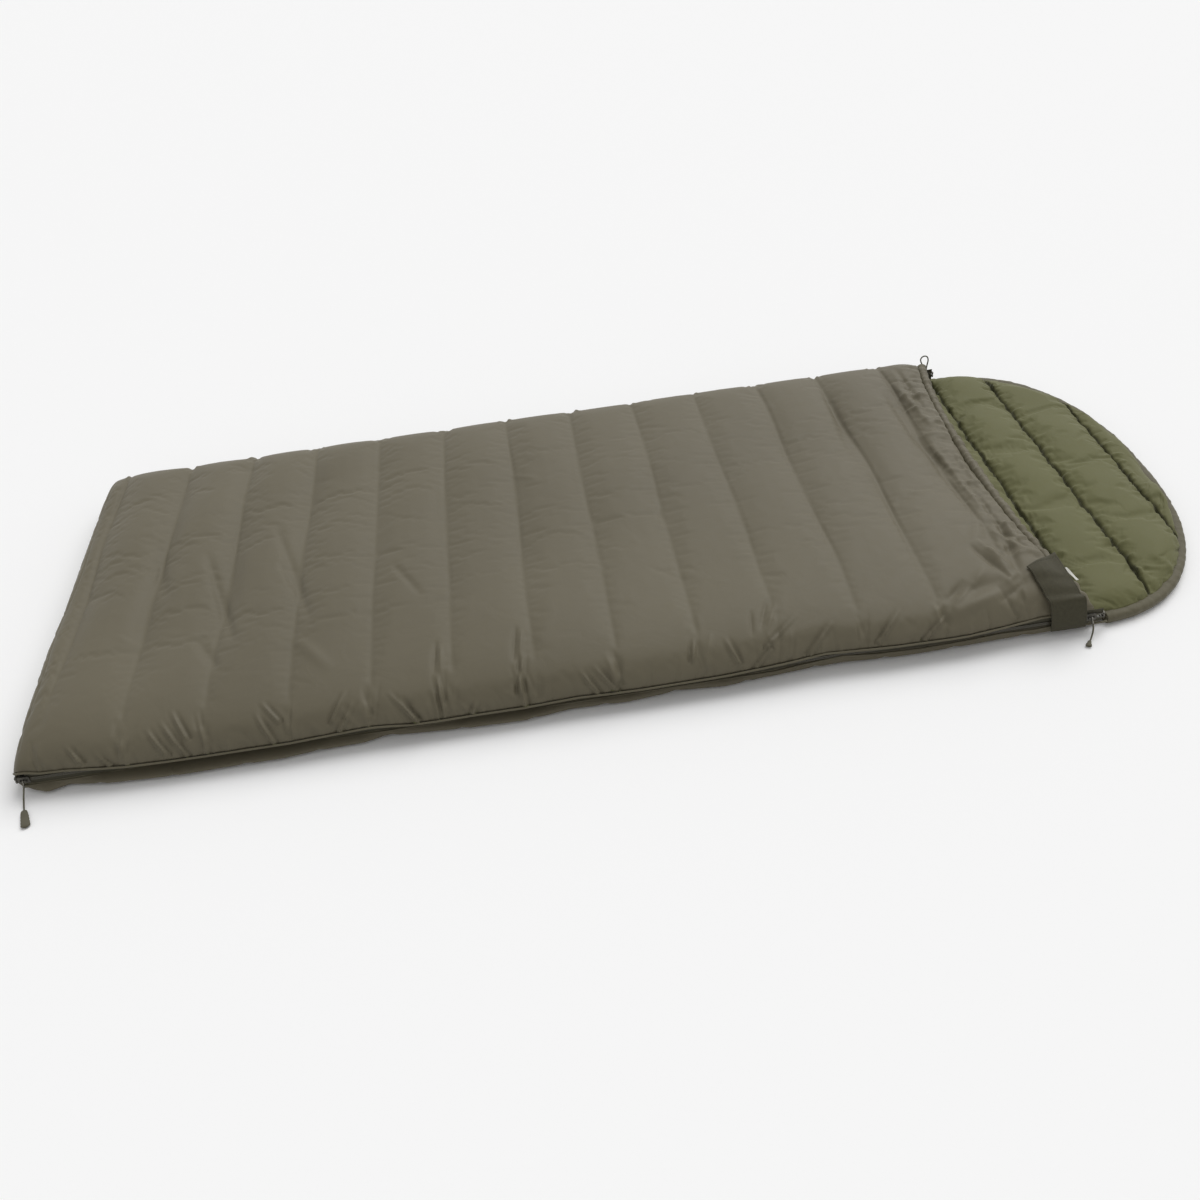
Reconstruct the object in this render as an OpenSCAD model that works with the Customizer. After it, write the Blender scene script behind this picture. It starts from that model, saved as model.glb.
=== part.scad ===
// Rectangular sleeping bag with an open hood, lying closed and flat.
// The quilted base carries the hood. The quilted cover is sewn to the base across the foot and closed
// along both sides by two-way zips. Its head section folds back at a quilting seam.
// X runs from the foot to the hood, Y across the bag, Z up. The origin is on the ground, midway across.

/* [Size] */
// Length from the foot end to the tip of the hood
bag_length = 2190; // [2150:10:2250]
// Distance from the foot end to the origin
foot_reach_x = 1075; // [1050:5:1100]
// Width over the piping of both sides
bag_width = 900; // [800:10:1000]
// Distance from the tip of the hood to the line where the hood folds up
hood_length = 279; // [270:1:290]
// Distance over which the outline of the hood rounds to its tip
hood_round = 298; // [292:1:320]
// Radius of the foot's corners
foot_corner = 24; // [15:1:40]

/* [Quilting] */
// Distance between the stitched seams of the cover
cover_pitch = 141.5; // [130:0.5:142]
// Distance from the foot end to the cover's first seam
cover_first = 56; // [40:1:60]
// Channels of the cover between the first seam and the seam that folds
channels_to_fold = 8; // [5:1:8]
// Channels of the cover between the seam that folds and the last seam
channels_past_fold = 4; // [2:1:4]
// Distance between the stitched seams of the base and the hood
base_pitch = 124; // [100:1:130]
// Distance from the tip of the hood to the seam next to the fold
base_last = 309; // [300:1:318]

/* [Padding] */
// Thickness of the quilted fabric skins
skin = 1.6; // [1:0.1:2]
// Gap between a skin and the wadding
ease = 0.3; // [0.2:0.1:0.5]
// Height of the base's seams above the ground
base_seam_z = 24; // [20:1:30]
// Height that a channel of the base stands above its seams
base_crown = 14; // [8:1:14]
// Height of the cover's lower seams above the ground
cover_low_z = 62; // [60:1:70]
// Depth that a channel of the cover hangs below its lower seams
cover_belly = 11; // [5:1:11]
// Height of the cover's upper seams above the ground
cover_seam_z = 86; // [80:1:95]
// Height that a channel of the cover stands above its upper seams
cover_crown = 19; // [10:1:22]
// Distance over which the cover rounds down to the foot seam
foot_drop = 56; // [40:1:60]

/* [Zips] */
// Height of the middle of the zip chain above the ground
zip_z = 30; // [29:0.5:31]
// Thickness of the chain
chain_t = 5; // [4:0.5:5]
// Distance between neighbouring teeth of one row
tooth_pitch = 8; // [6:1:10]
// Width of the gap between the edges of base and cover that the zip closes
zip_gap = 27; // [26:1:28]
// Length of a slider along the zip
slider_l = 20; // [18:1:22]
// Distance of the foot sliders from the foot end
foot_slider = 21; // [20:1:30]
// Distance of the near head slider from the tip of the hood
near_slider = 313; // [312:1:320]
// Distance of the far head slider from the tip of the hood
far_slider = 304; // [303:1:320]

/* [Trim] */
// Diameter of the piping along the edges
piping_d = 4; // [3:0.5:4]
// Width of the padded band round the hood
band_w = 26; // [20:1:28]
// Height of the padded band round the hood
band_h = 22; // [18:1:24]
// Diameter of the pull cords
cord_d = 3; // [2.5:0.5:3]
// Thickness of the closure tab
tab_t = 2; // [1.5:0.5:2.5]

/* [Hidden] */

khaki = "#736c5a";
dark_khaki = "#504c3c";
green = "#6a6c48";
wadding = "#e4e0d4";
dark = "#343023";
metal = "#8c8a80";

foot_x = -foot_reach_x;
tip_x = foot_x + bag_length;
hood_x = tip_x - hood_length;
half_w = bag_width / 2 - piping_d;
least_fill = 2.2;
stack = 2 * skin + 2 * ease + least_fill;
seam_gap = 0.5;

// The edges of base and cover stand apart by the zip's gap, and meet at the foot seam.
corner_rise = zip_gap / 2 - seam_gap;
function foot_reach(x) = let (d = x - foot_x) d < foot_corner ? pow(1 - d / foot_corner, 2) : 0;
function base_edge_z(x) = zip_z - zip_gap / 2 + corner_rise * foot_reach(x);
function cover_edge_z(x) = zip_z + zip_gap / 2 - corner_rise * foot_reach(x);

// Half the width of the plan at x, with the foot's corners rounded.
function rounded(d, r) = d < r ? r - sqrt(r * r - pow(r - d, 2)) : 0;
function plan_half(x) = half_w - rounded(x - foot_x, foot_corner);

// The stitched channels: 0 at a seam and 1 in the middle of a channel.
function bulge(x, seam, pitch) = pow(abs(sin(180 * (x - seam) / pitch)), 0.6);
cover_first_x = foot_x + cover_first;
fold_x = cover_first_x + channels_to_fold * cover_pitch;
cover_last_x = fold_x + channels_past_fold * cover_pitch;
base_last_x = tip_x - base_last;
base_channels = floor((base_last_x - foot_x) / base_pitch);
base_first_x = base_last_x - base_channels * base_pitch;

// The head edge of the cover curves towards the foot in the middle.
hem_middle = tip_x - 377;
hem_curve = 46;
hem_w = 26;
function hem_x(u) = hem_middle + hem_curve * pow(abs(u), 3);
hem_fall = 14;
hem_reach = 55;

// How far the padding has risen from the side edges, the foot seam and the hood's tip.
function shoulder(u) = sqrt(1 - pow(abs(u), 10));
function foot_round(x, u) =
    let (d = x - foot_x, over = foot_drop * (1 + 0.9 * pow(abs(u), 4)))
    d < over ? sqrt(1 - pow(1 - d / over, 2.5)) : 1;

function cover_top(x, u) =
    let (e = cover_edge_z(x) + stack)
    let (near_hem = min(1, max(0, 1 - (hem_x(u) - x) / hem_reach)))
    e + (cover_seam_z - e + cover_crown * bulge(x, cover_first_x, cover_pitch) - hem_fall * pow(near_hem, 2))
    * shoulder(u) * foot_round(x, u);
function cover_under(x, u) =
    let (e = cover_edge_z(x))
    e + (cover_low_z - e - cover_belly * bulge(x, cover_first_x, cover_pitch))
    * shoulder(u) * foot_round(x, u);

// The underside is flat on the ground and turns up to the side edges and the foot seam.
turn_from = 0.95;
foot_turn = 30;
function base_bottom(x, u) =
    let (side = pow(max(0, (abs(u) - turn_from) / (1 - turn_from)), 1.5))
    let (foot = pow(max(0, 1 - (x - foot_x) / foot_turn), 2))
    (base_edge_z(x) - stack) * max(side, foot);
function base_top(x, u) =
    let (e = base_edge_z(x))
    e + (base_seam_z - e + base_crown * bulge(x, base_last_x, base_pitch)) * shoulder(u) * foot_round(x, u);

// The hood's outline is a superellipse: turn goes from 0 at the near side to 90 at the tip.
hood_power = 2.3;
hood_from = tip_x - hood_round;
function hood_turn(x, inset) = asin(pow((x - hood_from) / (hood_round - inset), hood_power / 2));
function hood_x_at(turn, inset) = hood_from + (hood_round - inset) * pow(sin(turn), 2 / hood_power);
function hood_y_at(turn, inset) =
    (half_w - inset) * sign(cos(turn)) * pow(abs(cos(turn)), 2 / hood_power);
function hood_heading(turn) = atan2(
    pow(sin(turn), 2 - 2 / hood_power) / hood_round,
    sign(cos(turn)) * pow(abs(cos(turn)), 2 - 2 / hood_power) / half_w
);

// The hood's padding stops inside the band that is sewn round it.
band_ease = 2.5;
hood_inset = band_w + band_ease;
hood_tip = tip_x - hood_inset;
hood_edge_z = 14;
hood_drop = 45;
function hood_half_at(x) = hood_y_at(hood_turn(x, hood_inset), hood_inset);
function hood_top(x, u) =
    let (d = hood_tip - x)
    let (tip = d < hood_drop ? sqrt(1 - pow(1 - d / hood_drop, 2.5)) : 1)
    hood_edge_z + (base_seam_z - hood_edge_z + base_crown * bulge(x, base_last_x, base_pitch))
    * shoulder(u) * tip;

// Rows along the bag and columns across it, where the surfaces are worked out.
columns = [-1, -0.95, -0.82, -0.4, 0.4, 0.82, 0.95, 1];
head_columns = [-1, -0.95, -0.82, -0.4, 0, 0.4, 0.82, 0.95, 1];
cover_steps = [0, 0.3, 0.7];
base_steps = [0, 0.5];
corner_rows = [0, 2, 7, 14];
foot_rows = [for (d = corner_rows) foot_x + d];
foot_slope_row = 40;
cover_foot_rows = concat(foot_rows, [foot_x + foot_corner, foot_x + foot_slope_row]);
cover_rows = concat(
    cover_foot_rows,
    [for (i = [0:channels_to_fold - 1], t = cover_steps) cover_first_x + (i + t) * cover_pitch],
    [fold_x - seam_gap]
);
cover_head_rows = concat(
    [fold_x + seam_gap],
    [for (i = [0:channels_past_fold - 1], t = cover_steps) if (i + t > 0) fold_x + (i + t) * cover_pitch],
    [cover_last_x]
);
last_steps = [0.25, 0.5, 0.75, 1];
turn_rows = concat(foot_rows, [foot_x + foot_corner, foot_x + foot_turn]);
least_row_step = 10;
base_rows = concat(
    turn_rows,
    [for (i = [0:base_channels - 1], t = base_steps)
        let (x = base_first_x + (i + t) * base_pitch)
        if (x > foot_x + foot_turn + least_row_step) x],
    [base_last_x, hood_x - seam_gap]
);
shell_rows = concat(turn_rows, [hood_x - seam_gap]);
hood_steps = [0.5, 0.8, 1, 1.2, 1.5, 1.8, 2];
tip_turns = [68, 78, 86];
hood_turns = concat(
    [hood_turn(hood_x + seam_gap, hood_inset)],
    [for (t = hood_steps) hood_turn(base_last_x + t * base_pitch, hood_inset)],
    tip_turns
);
hood_rows = [for (t = hood_turns) hood_x_at(t, hood_inset)];

// A closed solid between a lower and an upper sheet of n rows by m columns of points.
module between(lower, upper, n, m) {
    far = n * m;
    polyhedron(
        points = concat(upper, lower),
        faces = concat(
            [for (i = [0:n - 2], j = [0:m - 2]) let (a = i * m + j) [a, a + m + 1, a + m]],
            [for (i = [0:n - 2], j = [0:m - 2]) let (a = i * m + j) [a, a + 1, a + m + 1]],
            [for (i = [0:n - 2], j = [0:m - 2]) let (a = far + i * m + j) [a, a + m, a + m + 1]],
            [for (i = [0:n - 2], j = [0:m - 2]) let (a = far + i * m + j) [a, a + m + 1, a + 1]],
            [for (i = [0:n - 2]) let (a = i * m) [a, a + m, far + a + m]],
            [for (i = [0:n - 2]) let (a = i * m) [a, far + a + m, far + a]],
            [for (i = [0:n - 2]) let (a = i * m + m - 1) [a, far + a + m, a + m]],
            [for (i = [0:n - 2]) let (a = i * m + m - 1) [a, far + a, far + a + m]],
            [for (j = [0:m - 2]) [j + 1, j, far + j]],
            [for (j = [0:m - 2]) [j + 1, far + j, far + j + 1]],
            [for (j = [0:m - 2]) let (a = (n - 1) * m + j) [a + 1, far + a, a]],
            [for (j = [0:m - 2]) let (a = (n - 1) * m + j) [a + 1, far + a + 1, far + a]]
        ),
        convexity = 10
    );
}

// A padded layer between two heights, which are functions of x and of the share u of the half width.
module layer(rows, cols, low, high, half) {
    between(
        [for (x = rows, u = cols) [x, half(x) * u, low(x, u)]],
        [for (x = rows, u = cols) [x, half(x) * u, high(x, u)]],
        len(rows), len(cols)
    );
}

// The same for the head section of the cover, whose last channel ends at the curved head edge.
module head_layer(low, high) {
    grid = concat(
        [for (x = cover_head_rows, u = head_columns) [x, u]],
        [for (t = last_steps, u = head_columns) [cover_last_x + t * (hem_x(u) - cover_last_x), u]]
    );
    between(
        [for (g = grid) [g[0], half_w * g[1], low(g[0], g[1])]],
        [for (g = grid) [g[0], half_w * g[1], high(g[0], g[1])]],
        len(cover_head_rows) + len(last_steps), len(head_columns)
    );
}

// Where the skins and the wadding lie in the stack of a quilted layer.
inset = skin + ease;
plan = function (x) plan_half(x);
hood_plan = function (x) hood_half_at(x);

module base_shell() color(khaki)
    layer(
        shell_rows, columns,
        function (x, u) base_bottom(x, u),
        function (x, u) base_bottom(x, u) + skin,
        plan
    );

module base_fill() color(wadding)
    layer(
        base_rows, columns,
        function (x, u) base_bottom(x, u) + inset,
        function (x, u) base_top(x, u) - inset,
        plan
    );

module base_lining() color(green)
    layer(
        base_rows, columns,
        function (x, u) base_top(x, u) - skin,
        function (x, u) base_top(x, u),
        plan
    );

module hood_shell() color(khaki)
    layer(hood_rows, columns, function (x, u) 0, function (x, u) skin, hood_plan);

module hood_fill() color(wadding)
    layer(
        hood_rows, columns,
        function (x, u) inset,
        function (x, u) hood_top(x, u) - inset,
        hood_plan
    );

module hood_lining() color(green)
    layer(
        hood_rows, columns,
        function (x, u) hood_top(x, u) - skin,
        function (x, u) hood_top(x, u),
        hood_plan
    );

module cover_shell() color(khaki)
    layer(
        cover_rows, columns,
        function (x, u) cover_top(x, u) - skin,
        function (x, u) cover_top(x, u),
        plan
    );

module cover_fill() color(wadding)
    layer(
        cover_rows, columns,
        function (x, u) cover_under(x, u) + inset,
        function (x, u) cover_top(x, u) - inset,
        plan
    );

module cover_lining() color(green)
    layer(
        cover_rows, columns,
        function (x, u) cover_under(x, u),
        function (x, u) cover_under(x, u) + skin,
        plan
    );

module cover_head_shell() color(khaki)
    head_layer(
        function (x, u) cover_top(x, u) - skin,
        function (x, u) cover_top(x, u)
    );

module cover_head_fill() color(wadding)
    head_layer(
        function (x, u) cover_under(x, u) + inset,
        function (x, u) cover_top(x, u) - inset
    );

module cover_head_lining() color(green)
    head_layer(
        function (x, u) cover_under(x, u),
        function (x, u) cover_under(x, u) + skin
    );

// A closed tube through rings of points, each ring with the same number of points.
module tube(rings) {
    n = len(rings);
    m = len(rings[0]);
    polyhedron(
        points = [for (r = rings, p = r) p],
        faces = concat(
            [for (i = [0:n - 2], j = [0:m - 1])
                let (k = (j + 1) % m)
                [i * m + j, i * m + k, (i + 1) * m + k]],
            [for (i = [0:n - 2], j = [0:m - 1])
                let (k = (j + 1) % m)
                [i * m + j, (i + 1) * m + k, (i + 1) * m + j]],
            [for (j = [1:m - 2]) [0, j + 1, j]],
            [for (j = [1:m - 2]) let (a = (n - 1) * m) [a, a + j, a + j + 1]]
        ),
        convexity = 10
    );
}

// The rolled hem that closes the head edge of the cover, gathered into small puckers.
hem_rings = 24;
hem_sides = 8;
hem_edge = [for (u = head_columns) [u, hem_x(u)]];
hem_high = [for (u = head_columns) [u, cover_top(hem_x(u), u)]];
hem_low = [for (u = head_columns) [u, cover_under(hem_x(u), u)]];
function hem_ring(i) =
    let (u = 2 * i / hem_rings - 1)
    let (pucker = i % 2 == 0 ? 1 : 0.86)
    let (high = lookup(u, hem_high))
    let (low = lookup(u, hem_low))
    [for (j = [0:hem_sides - 1])
        let (a = 360 * (j + 0.5) / hem_sides)
        let (out = hem_w / 2 * (1 + cos(a) * (cos(a) > 0 ? pucker : 1)))
        [lookup(u, hem_edge) + ease + out, half_w * u, (high + low) / 2 + (high - low) / 2 * sin(a) * 1.05]];
module cover_hem() color(khaki)
    tube([for (i = [0:hem_rings]) hem_ring(i)]);

// The padded band round the hood, flat where it lies on the ground.
band_section = [
    [-0.5, 0.15], [-0.36, 0], [0.36, 0], [0.5, 0.15],
    [0.5, 0.62], [0.3, 1], [-0.3, 1], [-0.5, 0.62]
];
band_start = hood_turn(hood_x + seam_gap, band_w / 2);
band_turns = concat([band_start], [for (i = [1:len(hood_turns) - 1]) hood_turns[i]]);
band_stations = concat(
    [for (t = band_turns) [hood_x_at(t, band_w / 2), -hood_y_at(t, band_w / 2), hood_heading(t) - 90]],
    [for (i = [len(band_turns) - 1:-1:0])
        let (t = band_turns[i])
        [hood_x_at(t, band_w / 2), hood_y_at(t, band_w / 2), 90 - hood_heading(t)]]
);
module hood_edge_band() color(khaki)
    tube([for (s = band_stations) [for (p = band_section) [
        s[0] + p[0] * band_w * cos(s[2]),
        s[1] + p[0] * band_w * sin(s[2]),
        p[1] * band_h
    ]]]);

// A straight bar along X with a section drawn in Y and Z.
module along_x(from, to)
    translate([from, 0, 0])
        rotate([90, 0, 90])
            linear_extrude(to - from)
                children();

module both_sides() {
    children();
    mirror([0, 1, 0]) children();
}

piping_y = half_w + piping_d / 2;
piping_off = piping_d / 2 + 0.5;
module piping(from, to, z) color(dark_khaki)
    both_sides()
        along_x(from, to)
            translate([piping_y, z])
                circle(d = piping_d - 0.4, $fn = 8);

zip_foot_x = foot_x + 9;
zip_head_x = tip_x - 291;
module base_piping() piping(foot_x + foot_corner, hood_x - seam_gap, base_edge_z(0) - piping_off);
module cover_piping() piping(foot_x + foot_corner, fold_x - seam_gap, cover_edge_z(0) + piping_off);
module cover_head_piping() piping(fold_x + seam_gap, hem_x(1), cover_edge_z(0) + piping_off);

// The padded roll that hangs behind each zip.
baffle_foot_x = foot_x + foot_corner + 10;
baffle_in = 12;
baffle_up = 8;
module baffle(from, to) color(green)
    both_sides()
        along_x(from, to)
            translate([half_w - baffle_in, zip_z + baffle_up])
                polygon([[-6, 6], [-9, 1], [-6, -5], [0, -6], [5, -3], [5.5, 3], [2, 6]]);
module draught_baffles() baffle(baffle_foot_x, fold_x - seam_gap);
module head_draught_baffles() baffle(fold_x + seam_gap, hem_x(1));

// The zips. Each chain lies in a plane across Y, its two rows mesh between the sliders, and each
// slider parts them by chain_part on the side away from the closed chain.
zip_y = half_w - 0.5;
tape_t = 1;
bead_back = 3;
bead_front = 1.1;
tooth_reach = 0.7;
tooth_root = 3.6;
tooth_tip = 2.6;
chain_part = 2.2;
part_from = -6;
part_to = 3;
near_slider_x = tip_x - near_slider;
far_slider_x = tip_x - far_slider;
foot_slider_x = foot_x + foot_slider;

function ramp(t) = min(1, max(0, t));
function parting(x, head_x) = chain_part * (
    ramp((x - head_x - part_from) / (part_to - part_from))
    + ramp((foot_slider_x - x - part_from) / (part_to - part_from))
);

// A tooth row from one x to another, with its teeth up. The other row is its mirror image.
function row_teeth(from, to, phase) = [
    for (i = [ceil((from - foot_x) / tooth_pitch - phase):floor((to - foot_x) / tooth_pitch - phase)])
        let (x = foot_x + (i + phase) * tooth_pitch)
        if (x - tooth_root / 2 > from + 0.2 && x + tooth_root / 2 < to - 0.2) x
];
function back_stations(from, to, head_x) = [
    for (x = [from, foot_slider_x - part_to, foot_slider_x - part_from, fold_x,
              head_x + part_from, head_x + part_to, to])
        if (x >= from && x <= to) x
];
module tooth_row(from, to, phase, head_x) {
    teeth = row_teeth(from, to, phase);
    back = back_stations(from, to, head_x);
    polygon(concat(
        [[from, -bead_front - parting(from, head_x)]],
        [for (x = teeth, p = [
            [-tooth_root / 2, -bead_front], [-tooth_tip / 2, tooth_reach],
            [tooth_tip / 2, tooth_reach], [tooth_root / 2, -bead_front]
        ]) [x + p[0], p[1] - parting(x, head_x)]],
        [[to, -bead_front - parting(to, head_x)]],
        [for (i = [len(back) - 1:-1:0]) [back[i], -bead_back - parting(back[i], head_x)]]
    ));
}
module tape_strip(from, to, edge, head_x) {
    back = back_stations(from, to, head_x);
    polygon(concat(
        [for (x = back) [x, -bead_back - parting(x, head_x)]],
        [[to, -edge], [from, -edge]]
    ));
}

// Stands a profile drawn in X and Z up in the plane of a zip: side is -1 near and 1 far.
module in_zip_plane(side, thickness)
    translate([0, side * zip_y + thickness / 2, zip_z])
        rotate([90, 0, 0])
            linear_extrude(thickness)
                children();

cover_tape_edge = zip_gap / 2 - 0.2;
base_tape_edge = zip_gap / 2 - 1.4;
tape_foot_x = foot_x + foot_corner;
module base_tape(side, head_x) color(dark)
    in_zip_plane(side, tape_t)
        tape_strip(tape_foot_x, zip_head_x, base_tape_edge, head_x);
module cover_tape(side, head_x, from, to) color(dark)
    in_zip_plane(side, tape_t)
        mirror([0, 1, 0])
            tape_strip(from, to, cover_tape_edge, head_x);
module base_teeth(side, head_x) color(dark)
    in_zip_plane(side, chain_t)
        tooth_row(zip_foot_x, zip_head_x, 0, head_x);
module cover_teeth(side, head_x, from, to) color(dark)
    in_zip_plane(side, chain_t)
        mirror([0, 1, 0])
            tooth_row(from, to, 0.5, head_x);

module near_base_tape() base_tape(-1, near_slider_x);
module far_base_tape() base_tape(1, far_slider_x);
module near_cover_tape() cover_tape(-1, near_slider_x, tape_foot_x, fold_x - seam_gap);
module far_cover_tape() cover_tape(1, far_slider_x, tape_foot_x, fold_x - seam_gap);
module near_cover_head_tape() cover_tape(-1, near_slider_x, fold_x + seam_gap, zip_head_x);
module far_cover_head_tape() cover_tape(1, far_slider_x, fold_x + seam_gap, zip_head_x);
module near_base_teeth() base_teeth(-1, near_slider_x);
module far_base_teeth() base_teeth(1, far_slider_x);
module near_cover_teeth() cover_teeth(-1, near_slider_x, zip_foot_x, fold_x - seam_gap);
module far_cover_teeth() cover_teeth(1, far_slider_x, zip_foot_x, fold_x - seam_gap);
module near_cover_head_teeth() cover_teeth(-1, near_slider_x, fold_x + seam_gap, zip_head_x);
module far_cover_head_teeth() cover_teeth(1, far_slider_x, fold_x + seam_gap, zip_head_x);

// Metal stops crimped on the ends of the rows.
stop = [3, chain_t + 1.4, 4.6];
row_middle = (bead_back - tooth_reach) / 2 + chain_part;
module stop_at(x, z) color(metal)
    both_sides()
        translate([x - stop[0] / 2, zip_y - stop[1] / 2, z - stop[2] / 2])
            cube(stop);
module foot_zip_stops() {
    stop_at(zip_foot_x - stop[0] / 2, zip_z - row_middle);
    stop_at(zip_foot_x - stop[0] / 2, zip_z + row_middle);
}
module head_zip_stops() stop_at(zip_head_x + stop[0] / 2, zip_z - row_middle);
module cover_zip_stops() stop_at(zip_head_x + stop[0] / 2, zip_z + row_middle);

// A slider: two plates round the chain, lips that hold the rows, the post that parts them and the
// crown that the bail swings on. It is drawn round the origin, outwards along -Y, mouth towards +X.
plate_t = 1.4;
plate_in = chain_t / 2 + 0.4;
lip_in = bead_back + chain_part + 0.4;
lip_t = 1.3;
lip_slit = 0.9;
slider_h = 2 * (lip_in + lip_t);
crown_y = 7.6;
crown_r = 0.9;
crown_l = 12;
module slider_body() color(metal) {
    for (s = [-1, 1]) {
        translate([0, s * (plate_in + plate_t / 2), 0])
            rotate([90, 0, 0])
                linear_extrude(plate_t, center = true)
                    polygon([for (p = [[-0.5, -0.38], [-0.4, -0.5], [0.38, -0.5], [0.5, -0.4],
                                       [0.5, 0.4], [0.38, 0.5], [-0.4, 0.5], [-0.5, 0.38]])
                        [p[0] * slider_l, p[1] * slider_h]]);
        for (z = [-1, 1])
            translate([-0.4 * slider_l, min(s * lip_slit, s * plate_in), z > 0 ? lip_in : -lip_in - lip_t])
                cube([0.76 * slider_l, plate_in - lip_slit, lip_t]);
        translate([s * (crown_l / 2 - 0.9) - 0.9, -crown_y - crown_r, -1])
            cube([1.8, crown_y + crown_r - plate_in, 2]);
    }
    translate([4, -plate_in, -1])
        cube([3, 2 * plate_in, 2]);
    translate([-crown_l / 2, -crown_y, 0])
        rotate([0, 90, 0])
            cylinder(r = crown_r, h = crown_l, $fn = 24);
}

// A bail: a flat link that swings on the crown, drawn hanging along -Y from the crown's axis.
bail_reach = 8;
bail_t = 2;
bail_eye = 1.3;
bail_rim = 2.5;
module bail_link() color(metal)
    rotate([0, 90, 0])
        linear_extrude(bail_t, center = true)
            difference() {
                union() {
                    circle(r = bail_rim, $fn = 24);
                    translate([0, -bail_reach]) circle(r = bail_rim + 0.3, $fn = 24);
                    translate([-1.4, -bail_reach]) square([2.8, bail_reach]);
                }
                circle(r = bail_eye, $fn = 24);
                translate([0, -bail_reach]) circle(r = bail_eye + 0.5, $fn = 24);
            }

// Places a slider: side is -1 near and 1 far, mouth is 1 towards the head and -1 towards the foot.
module at_slider(x, side, mouth)
    translate([x, side * zip_y, zip_z])
        mirror([0, side > 0 ? 1 : 0, 0])
            mirror([mouth < 0 ? 1 : 0, 0, 0])
                children();
module bail_at(x, side, droop)
    translate([x, side * (zip_y + crown_y), zip_z])
        mirror([0, side > 0 ? 1 : 0, 0])
            rotate([droop, 0, 0])
                bail_link();

// Pull cords: tubes of 8 sides swept along their routes.
function unit(v) = v / norm(v);
function heading(route, i) =
    let (n = len(route))
    unit(route[min(i + 1, n - 1)] - route[max(i - 1, 0)]);
function cord_ring(route, i) =
    let (t = heading(route, i))
    let (side = unit(cross(t, abs(t[1]) < 0.9 ? [0, 1, 0] : [1, 0, 0])))
    let (up = cross(side, t))
    [for (j = [0:7])
        let (a = 45 * j)
        route[i] + cord_d / 2 * (cos(a) * side + sin(a) * up)];
module cord_along(route, side) color(dark_khaki)
    mirror([0, side > 0 ? 1 : 0, 0])
        tube([for (i = [0:len(route) - 1]) cord_ring(route, i)]);

// A route is given from its slider along X, outwards from the bag's edge and above the ground.
function route_from(slider_x, steps) = [for (p = steps) [slider_x + p[0], -half_w - p[1], p[2]]];
near_head_route = route_from(near_slider_x, [
    [0, 14, 23], [-1, 19, 17], [-3, 23, 11], [-6, 27, 6], [-9, 31, 3], [-13, 35, 3]
]);
foot_route = route_from(foot_slider_x, [
    [0, 14, 23], [-1, 20, 17], [-2, 26, 11], [-2, 33, 6], [-1, 41, 3], [1, 48, 3]
]);
far_head_route = route_from(far_slider_x, [
    [-2, 7, 37], [-3, 6, 43], [-6, 5, 50], [-10, 5, 57], [-13, 5, 64], [-14, 5, 70],
    [-11, 5, 75], [-6, 5, 77], [0, 5, 75], [3, 5, 70], [4, 5, 64], [3, 5, 57],
    [2, 5, 50], [2, 6, 43], [2, 7, 37]
]);

// Moulded grips at the ends of the cords, lying on the ground and pointing away from the bag.
grip_t = 5;
grip_z = 0.6;
near_head_grip_at = [near_slider_x - 12, -half_w - 34];
foot_grip_at = [foot_slider_x + 0.5, -half_w - 47];
small_grip_turn = -121;
long_grip_turn = -72;
module grip_at(start, turn, outline) color(dark_khaki)
    translate([start[0], start[1], grip_z])
        rotate([0, 0, turn])
            linear_extrude(grip_t)
                polygon(outline);
small_grip = [[0, -3], [6, -3.5], [13, -5.5], [14, -4.5], [14, 4.5], [13, 5.5], [6, 3.5], [0, 3]];
long_grip = [[0, -3], [3, -5], [9, -6], [38, -7.5], [42, -5.5], [42, 5.5], [38, 7.5], [9, 6], [3, 5], [0, 3]];

module near_head_slider() at_slider(near_slider_x, -1, 1) slider_body();
module far_head_slider() at_slider(far_slider_x, 1, 1) slider_body();
module near_foot_slider() at_slider(foot_slider_x, -1, -1) slider_body();
module far_foot_slider() at_slider(foot_slider_x, 1, -1) slider_body();
hanging_droop = 50;
standing_droop = -95;
module near_head_bail() bail_at(near_slider_x, -1, hanging_droop);
module far_head_bail() bail_at(far_slider_x, 1, standing_droop);
module near_foot_bail() bail_at(foot_slider_x, -1, hanging_droop);
module far_foot_bail() bail_at(foot_slider_x, 1, hanging_droop);
module near_head_cord() cord_along(near_head_route, -1);
module far_head_cord() cord_along(far_head_route, 1);
module near_foot_cord() cord_along(foot_route, -1);
module far_foot_cord() cord_along(foot_route, 1);
module near_head_grip() grip_at(near_head_grip_at, small_grip_turn, small_grip);
module near_foot_grip() grip_at(foot_grip_at, long_grip_turn, long_grip);
module far_foot_grip() mirror([0, 1, 0]) near_foot_grip();

// The closure tab: sewn to the cover along its upper edge, it hangs over the shoulder and the zip.
// tab_over gives each row's share of the way down, its outward direction in Y and Z, and its slack.
// tab_side gives each lower row's share, its distance out from the bag's edge and its height from the chain.
tab_sewn = [[hem_middle - 14, -half_w + 83], [hem_middle + 48, -half_w + 114]];
tab_end_x = [hem_middle - 2, hem_middle + 51];
tab_over = [[0, 0, 1, 0], [0.25, 0, 1, 0], [0.5, -0.4, 0.9, 0.5], [0.72, -0.8, 0.6, 1]];
tab_side = [[0.8, 4.5, 16], [0.88, 6, 2], [0.95, 6, -12], [1, 4.5, -22]];
tab_across = [0, 0.5, 1];
tab_clear = 2.4;
tab_slack = 1.6;
function mix(a, b, t) = a + (b - a) * t;
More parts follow.
